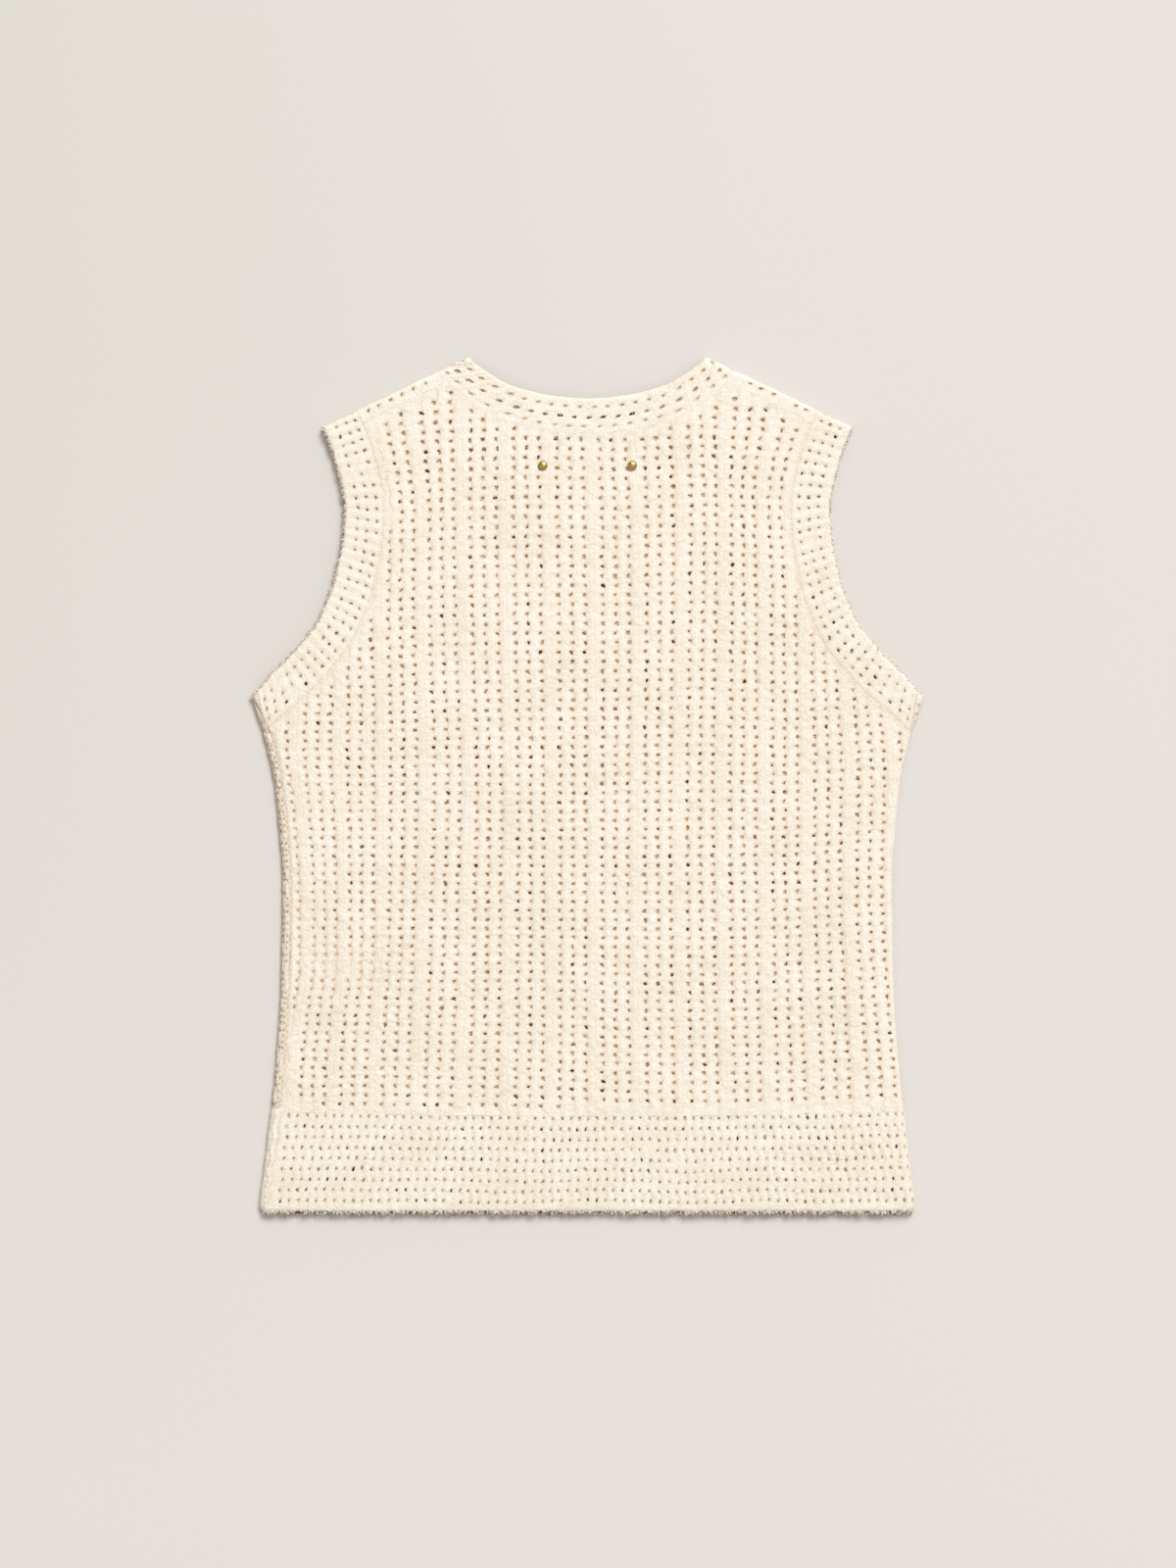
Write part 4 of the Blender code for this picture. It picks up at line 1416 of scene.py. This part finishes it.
def mirrored_at(band, long):
    """A run that goes from the left end over the centre line to the right one."""

    def at(q, c):
        s = q - long
        p = band.at(np.abs(s), c)
        return np.stack([np.sign(s + 1e-9) * p[:, 0], p[:, 1]], axis=1)

    return at


def neck_end(sign):
    def at(c):
        p = NECK.at(np.full(len(c), NECK_LONG), c)
        way = (sign * OUTWARD[0], OUTWARD[1])
        return np.stack([sign * p[:, 0], p[:, 1]], axis=1), way

    return at


neck_back_at = mirrored_at(NECK, NECK_LONG)
neck_front_at = mirrored_at(NECK_F, NECK_F_LONG)
NECK_RUNS = [
    ("back", 2 * NECK_LONG, neck_back_at),
    ("down", FOLD, neck_end(1)),
    ("front", 2 * NECK_F_LONG, lambda q, c: neck_front_at(2 * NECK_F_LONG - q, c)),
    ("up", FOLD, neck_end(-1)),
]


def neck_knit():
    cols = [NECK_PITCH * (k + 0.5) for k in range(NECK_WALES)]
    across = grid_lines(cols, (-2.5, -1.4, 0, 1.4, 2.5), 0.0, NECK_ROUND, 1.5)
    up = grid_lines(
        NECK_ROWS_AT, (-1.8, -0.8, 0, 0.8, 1.8), -3.2, NECK_BAND + 0.7, 1.35,
        also=(NECK_BAND - 0.1,),
    )
    step = -0.32 * NECK_PITCH / 6.8  # each row of holes starts a little further back

    def ring(u, v, k, low, high):
        return ring_waves(u, v, NECK_ROUND, 90 + k, low, high)

    def warp(u, v):
        return (
            u - 2.0 + step * (v - 13.6) + 0.3 * ring(u, v, 1, 30, 90),
            v + 0.3 * ring(u, v, 2, 35, 100) * taper(v, NECK_BAND),
        )

    def relief(u, v, x, y, dist):
        h = 0.17 * np.cos(2 * math.pi * u / (NECK_PITCH / 2))
        h += 0.12 * np.cos(2 * math.pi * v / 3.3 + 0.8 * np.sin(u * 0.7))
        h += 0.14 * ring(u, v * 1.5, 3, 10, 30) + 0.12 * ring(u, v, 4, 40, 110)
        h = h * (1 - 0.9 * bell(v - NECK_BAND + 1, 2.6)) + under_seam(v, NECK_BAND)
        low = (u > 2 * NECK_LONG + FOLD * 0.75) & (u < NECK_ROUND - FOLD * 0.75)
        return np.where(low, np.minimum(h - 0.35, -0.02), h)

    def hole(k, m, x, y, r):
        s = r.normal(0.95, 0.12) * (0.85, 1.0, 0.6)[m]
        along = NECK_PITCH * (k + 0.5) - NECK_LONG  # from the middle of the back
        # row two's holes over the front's neck opening are painted nearly black, as painted shade
        black = m == 1 and -30 < along < 34
        tall = min(abs(along) / NECK_LONG, 1) ** 2 * 0.5  # rounder near the shoulders
        s *= 1.15 if black else 1 + 0.5 * tall
        return Hole(
            r.normal(0, 0.3),
            r.normal(0, 0.2),
            (1.6 if black else 1.4) * s,
            (0.72 + tall) * s,
            r.normal(0, 0.2),
            r.uniform(0, 6.28),
            r.uniform(0.05, 0.22),
            2.2 if black else (0.9, 1.4, 0.7)[m],
            -1 if black else 1,
            2.2 if black else (r.uniform(0.4, 1.0), r.uniform(0.6, 1.3), 0.3)[m],
            True,
        )

    def painted_shade_at(u, v, x, y, dist):
        # Painted shade on the open edge's rim and along the seam.
        return 0.5 * np.clip((0.4 - v) / 2.5, 0, 1) + 0.05 * bell(v - NECK_BAND, 1.0)

    return knit(
        "neck_knit", across, up, ring_place(NECK_RUNS, ragged=0.35), relief, hole, band_mat, 95,
        warp=warp, closed=True, flip=True, stitch=(NECK_PITCH / 3, 3.3), painted_shade_at=painted_shade_at,
    )


neck_piece = neck_knit()

# hem
HEM_FLAT = 2 * float(side_half(35.0))
HEM_ROUND = 2 * HEM_FLAT + 2 * FOLD
HEM_WALES = 146
HEM_PITCH = HEM_ROUND / HEM_WALES
HEM_ROW = 7.13
HEM_ROWS_AT = [7.3 + HEM_ROW * k for k in range(9)]
HEM_WIDE = HEM_MIDDLE + 0.5


def hem_taller(share):
    """The band is a little taller at the sides than in the middle."""
    return (hem_top(share) + 0.5) / HEM_WIDE


def hem_flat(towards):
    def at(q, c):
        share = (q / HEM_FLAT * 2 - 1) * towards
        return np.stack([share * side_half(c), c * hem_taller(share)], axis=1)

    return at


def hem_end(sign):
    def at(c):
        return np.stack([sign * side_half(c), c * hem_taller(1.0)], axis=1), (sign, 0.0)

    return at


HEM_RUNS = [
    ("back", HEM_FLAT, hem_flat(1)),
    ("down", FOLD, hem_end(1)),
    ("front", HEM_FLAT, hem_flat(-1)),
    ("up", FOLD, hem_end(-1)),
]


hem_place = ring_place(HEM_RUNS, 1, 1.5)


def hem_knit():
    cols = [HEM_PITCH * (k + 0.5) for k in range(HEM_WALES)]
    across = grid_lines(cols, (-1.75, -0.72, 0, 0.72, 1.75), 0.0, HEM_ROUND, 1.4)
    up = grid_lines(HEM_ROWS_AT, (-1.9, -1.0, 0, 1.0, 1.9), -3.2, HEM_WIDE + 0.7, 1.6,
                    also=(HEM_WIDE - 0.1,))

    def ring(u, v, k, low, high):
        return ring_waves(u, v, HEM_ROUND, 100 + k, low, high)

    def warp(u, v):
        swing = 0.7 * np.cos(math.pi * (v - HEM_ROWS_AT[0]) / HEM_ROW)
        return (
            u + swing + 0.4 * ring(u, v, 1, 25, 80),
            v + 0.5 * ring(u, v, 2, 40, 120) * taper(v, HEM_WIDE),
        )

    def left_line(u, v):
        """Beside the left side's fold, where the band's first wale ends."""
        return u - 1.0 - 3.0 * v / HEM_WIDE

    def relief(u, v, x, y, dist):
        du = np.abs(np.mod(u - 0.3, HEM_PITCH) - HEM_PITCH / 2)
        h = 0.12 - 0.36 * bell(du, 0.6)
        h += 0.15 * np.cos(4 * math.pi * (v - 7.3) / HEM_ROW + 0.9 * np.sin(u * 0.9))
        h += 0.15 * ring(u, v, 3, 9, 26) + 0.2 * ring(u, v, 4, 40, 130)
        h -= 0.5 * bell(left_line(u, v), 0.6)
        h = h * (1 - 0.9 * bell(v - HEM_WIDE + 1, 2.6)) + under_seam(v, HEM_WIDE)
        low = (u > HEM_FLAT + FOLD * 0.75) & (u < HEM_ROUND - FOLD * 0.75)
        return np.where(low, np.minimum(h - 0.35, -0.02), h)

    def hole(k, m, x, y, r):
        s = r.normal(0.86, 0.24)
        if s < 0.35 or not 4.5 < HEM_PITCH * (k + 0.5) < HEM_ROUND - FOLD * 0.8:
            return None
        return Hole(
            r.normal(0, 0.2),
            r.normal(0, 0.3),
            0.60 * s * r.normal(1, 0.1),
            1.12 * s,
            r.normal(0, 0.35),
            r.uniform(0, 6.28),
            r.uniform(0.05, 0.25),
            1.4,
            int(r.random() < 0.3),
            painted_hole_shade(r, 0.04),
            r.random() < 0.75,
        )

    def painted_shade_at(u, v, x, y, dist):
        # Painted shade: tan in each wale's groove, on the open edge's rim and along the left line; the front
        # run's lower edge is painted dark brown, a painted shadow under the hem's edge.
        du = np.abs(np.mod(u - 0.3, HEM_PITCH) - HEM_PITCH / 2)
        r = 0.6 + 0.5 * ring(u * 2, v, 6, 8, 26)
        out = 0.24 * bell(du, 0.7) * np.clip(r, 0.1, 1.2)
        out += 0.6 * np.clip((0.2 - v) / 2.2, 0, 1) + 0.3 * bell(left_line(u, v), 0.7)
        low = (u > HEM_FLAT + FOLD) & (u < HEM_ROUND - FOLD)
        return out + np.where(low, (1.1 + 0.35 * r) * np.clip((1.5 - v) / 2, 0, 1), 0)

    return knit(
        "hem_knit", across, up, hem_place, relief, hole, band_mat, 105,
        warp=warp, closed=True, stitch=(HEM_PITCH / 2, HEM_ROW / 2), painted_shade_at=painted_shade_at,
    )


hem_piece = hem_knit()


# ---------------------------------------------------------------- fringe
def loops(name, base, along, out, r, mats, size, thick, hairs=0.35):
    """Small yarn loops and hairs that stand out of an open edge, as thin tubes."""
    n = len(base)
    t = (np.arange(5) / 4)[None, :]
    long = r.uniform(*size, n)[:, None]
    width = r.uniform(0.6, 1.7, n)[:, None]
    up = np.cross(out, along)
    hair = (r.random(n) < hairs)[:, None]
    lean = r.normal(0, 0.5, n)[:, None]
    lift = r.normal(0, 0.35, n)[:, None]
    sideways = np.where(hair, lean * long * t**2, width * (t - 0.5))
    outwards = np.where(hair, long * t, long * 0.7 * np.sin(math.pi * t)) - 0.35
    line = (
        base[:, None, :]
        + along[:, None, :] * sideways[..., None]
        + out[:, None, :] * outwards[..., None]
        + up[:, None, :] * (lift * np.sin(math.pi * t * 0.8))[..., None]
    )
    slim = np.where(hair, 1 - 0.55 * t, 1.0) * (thick * r.uniform(0.7, 1.3, n))[:, None]
    tangent = np.gradient(line, axis=1)
    tangent /= np.linalg.norm(tangent, axis=2, keepdims=True) + 1e-9
    side = np.cross(tangent, up[:, None, :] + 0.01)
    side /= np.linalg.norm(side, axis=2, keepdims=True) + 1e-9
    other = np.cross(tangent, side)
    rings = [
        line + slim[..., None] * (side * math.cos(a) + other * math.sin(a))
        for a in (0, 2 * math.pi / 3, 4 * math.pi / 3)
    ]
    co = np.stack(rings, axis=2)  # loop, step, corner
    co[..., 2] = np.maximum(co[..., 2], 0.02)
    index = np.arange(n * 15).reshape(n, 5, 3)
    a, b = index[:, :-1], index[:, 1:]
    quads = np.stack(
        [a, np.roll(a, -1, axis=2), np.roll(b, -1, axis=2), b], axis=-1
    ).reshape(-1, 4)
    return mesh_from(
        name, co.reshape(-1, 3), quads, mats, np.zeros((n * 15, 2)),
        np.zeros(n * 15), np.repeat(r.random(n), 15),
    )


def fringe(name, place, total, count, seed, size, thick, mats, low=-0.9, high=1.0):
    """Loops spread along a band's open edge, over its rounding."""
    r = np.random.default_rng(seed)
    u = r.uniform(0, total, count)
    v = r.uniform(low, high, count)
    here = place(u, v, np.zeros(count))
    ahead = place(u + 0.8, v, np.zeros(count))
    inner = place(u, np.full(count, 3.0), np.full(count, -1.5))
    along = ahead - here
    along /= np.linalg.norm(along, axis=1, keepdims=True) + 1e-9
    out = here - inner
    out -= (out * along).sum(1, keepdims=True) * along
    out /= np.linalg.norm(out, axis=1, keepdims=True) + 1e-9
    out = out + r.normal(0, 0.25, out.shape)
    out /= np.linalg.norm(out, axis=1, keepdims=True)
    return loops(name, here, along, out, r, mats, size, thick)


hem_fringe = fringe(
    "hem_fringe", hem_place, HEM_ROUND, 1300, 201, (1.5, 4.2), 0.32, band_mat
)
arm_fringes = [
    fringe(
        f"armhole_fringe_{side}", arm_place(sign), ARM_ROUND, count, seed,
        (1.2, 3.0), 0.3, band_mat,
    )
    for side, sign, seed, count in (("left", -1, 202, 620), ("right", 1, 203, 380))
]


# ---------------------------------------------------------------- studs
def brass_material(name, tint):
    m, nt = nodes_of(name)
    out = nt.nodes.new("ShaderNodeOutputMaterial")
    bsdf = nt.nodes.new("ShaderNodeBsdfPrincipled")
    nt.links.new(bsdf.outputs[0], out.inputs[0])
    bsdf.inputs["Metallic"].default_value = 1.0
    place = nt.nodes.new("ShaderNodeTexCoord").outputs["Object"]
    wear = noise(nt, place, 900.0, 4.0, 0.6)
    dull = tuple(c * 0.6 for c in tint)
    nt.links.new(
        mix(nt, span(nt, wear, 0.35, 0.65), rgb(nt, dull), rgb(nt, tint)),
        bsdf.inputs["Base Color"],
    )
    nt.links.new(span(nt, wear, 0.3, 0.7, 0.28, 0.5), bsdf.inputs["Roughness"])
    bump = nt.nodes.new("ShaderNodeBump")
    bump.inputs["Strength"].default_value = 0.25
    bump.inputs["Distance"].default_value = 0.0002
    nt.links.new(wear, bump.inputs["Height"])
    nt.links.new(bump.outputs[0], bsdf.inputs["Normal"])
    return m


for name in ("stud_left", "stud_right"):
    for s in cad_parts[name].material_slots:
        s.material = brass_material(name + "_metal", (0.62, 0.43, 0.16))


# ------------------------------------------------------- each piece under the root, its CAD part hidden
def declare(piece, node, slot):
    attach(piece, "root")
    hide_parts(node)


def cut_half(polygon, right):
    """The flat area and size of the polygon's part on one side of the split."""
    p = np.array(polygon)
    ys = np.linspace(p[:, 1].min(), p[:, 1].max(), 400)
    total, wide = 0.0, 0.0
    q = np.roll(p, -1, axis=0)
    for y in ys:
        xs = sorted(
            a[0] + (y - a[1]) * (b[0] - a[0]) / (b[1] - a[1])
            for a, b in zip(p, q)
            if (a[1] > y) != (b[1] > y)
        )
        for a, b in zip(xs[::2], xs[1::2]):
            a, b = (max(a, 4.4), b) if right else (a, min(b, 4.4))
            if b > a:
                total += b - a
                wide = max(wide, b - a)
    tall = ys[-1] - ys[0]
    return wide * MM, tall * MM, total * tall / len(ys) * MM * MM


for pieces_, region_, node_, slot_ in (
    (back_pieces, BACK_REGION, "back_panel", "back_knit"),
    (front_pieces, FRONT_REGION, "front_panel", "front_knit"),
):
    for piece, right in zip(pieces_, (False, True)):
        declare(piece, node_, slot_)
        wide, tall, area = cut_half(region_, right)

declare(side_piece, "front_panel", "front_knit")
for piece, rest in zip(shoulder_pieces, ("front_knit_left", "front_knit_right")):
    declare(piece, "front_panel", "front_knit")
for piece, tuft, side in zip(arm_pieces, arm_fringes, ("left", "right")):
    declare(piece, f"armhole_band_{side}", f"armhole_{side}_knit")
    declare(tuft, f"armhole_band_{side}", f"armhole_{side}_knit")
declare(neck_piece, "neckband", "neck_knit")
declare(hem_piece, "hem_band", "hem_knit")
declare(hem_fringe, "hem_band", "hem_knit")

# ------------------------------------------------------- floor, light, camera
bpy.ops.mesh.primitive_plane_add(size=6.0, location=(0, 0, 0))
floor = bpy.context.object
floor.name = "floor"
m, nt = nodes_of("pale_floor")
out = nt.nodes.new("ShaderNodeOutputMaterial")
bsdf = nt.nodes.new("ShaderNodeBsdfPrincipled")
nt.links.new(bsdf.outputs[0], out.inputs[0])
bsdf.inputs["Roughness"].default_value = 0.95
bsdf.inputs["Specular IOR Level"].default_value = 0.1
place = nt.nodes.new("ShaderNodeTexCoord").outputs["Object"]
soft = noise(nt, place, 1.3, 1.0)
speck = noise(nt, place, 700.0, 2.0)
sep = nt.nodes.new("ShaderNodeSeparateXYZ")
nt.links.new(place, sep.inputs[0])
# Painted shade: the floor is darker towards the top, which evens out the key light's brighter top, and darker
# and yellower on the upper left, as the key light comes from the right; the soft patches and specks are its own
# tone.
c = mix(nt, span(nt, sep.outputs[1], -0.5, 0.5), rgb(nt, (0.700, 0.668, 0.636)), rgb(nt, (0.668, 0.636, 0.606)))
high_left = maths(nt, "MULTIPLY", span(nt, sep.outputs[0], 0.1, -0.4), span(nt, sep.outputs[1], -0.5, 0.3))
c = mix(nt, maths(nt, "MULTIPLY", high_left, 0.8), c, rgb(nt, (0.622, 0.600, 0.541)))
c = mix(nt, span(nt, soft, 0.3, 0.7, 0, 0.3), c, rgb(nt, (0.690, 0.655, 0.622)))
c = mix(nt, span(nt, speck, 0.3, 0.7, 0, 0.12), c, rgb(nt, (0.58, 0.565, 0.54)))
nt.links.new(c, bsdf.inputs["Base Color"])
floor.data.materials.append(m)

world = bpy.data.worlds.new("soft_studio")
world.use_nodes = True
world.node_tree.nodes["Background"].inputs[0].default_value = (1.01, 0.975, 0.93, 1)
world.node_tree.nodes["Background"].inputs[1].default_value = 0.53
bpy.context.scene.world = world


def area_light(name, way, far, size, power, colour=(1, 1, 1)):
    data = bpy.data.lights.new(name, "AREA")
    data.shape = "DISK"
    data.size = size
    data.energy = power
    data.color = colour
    obj = bpy.data.objects.new(name, data)
    at = Vector(way).normalized() * far
    obj.location = at
    obj.rotation_euler = at.to_track_quat("Z", "Y").to_euler()
    bpy.context.scene.collection.objects.link(obj)
    return obj


area_light("key", (0.30, 0.62, 0.86), 14.0, 6.0, 1700.0, (0.985, 1.0, 1.02))

scene = bpy.context.scene
scene.view_settings.view_transform = "Standard"
scene.view_settings.look = "None"
scene.view_settings.exposure = 0.0
scene.view_settings.gamma = 1.0
camera = bpy.data.cameras.new("camera")
camera.lens = 85.0
camera.sensor_width = 36.0
camera.clip_end = 40.0
camera_object = bpy.data.objects.new("camera", camera)
camera_object.location = (0.00034, -0.0002, 1.088 / 2 * 85 / 18 + HIGH * MM)
scene.collection.objects.link(camera_object)
scene.camera = camera_object

# ---------------------------------------------------------------- sizes
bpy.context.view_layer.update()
counts = {
    o.name: len(o.data.loops) - 2 * len(o.data.polygons)
    for o in scene.objects
    if o.type == "MESH" and not o.hide_render
}
print("triangles", counts, sum(counts.values()))
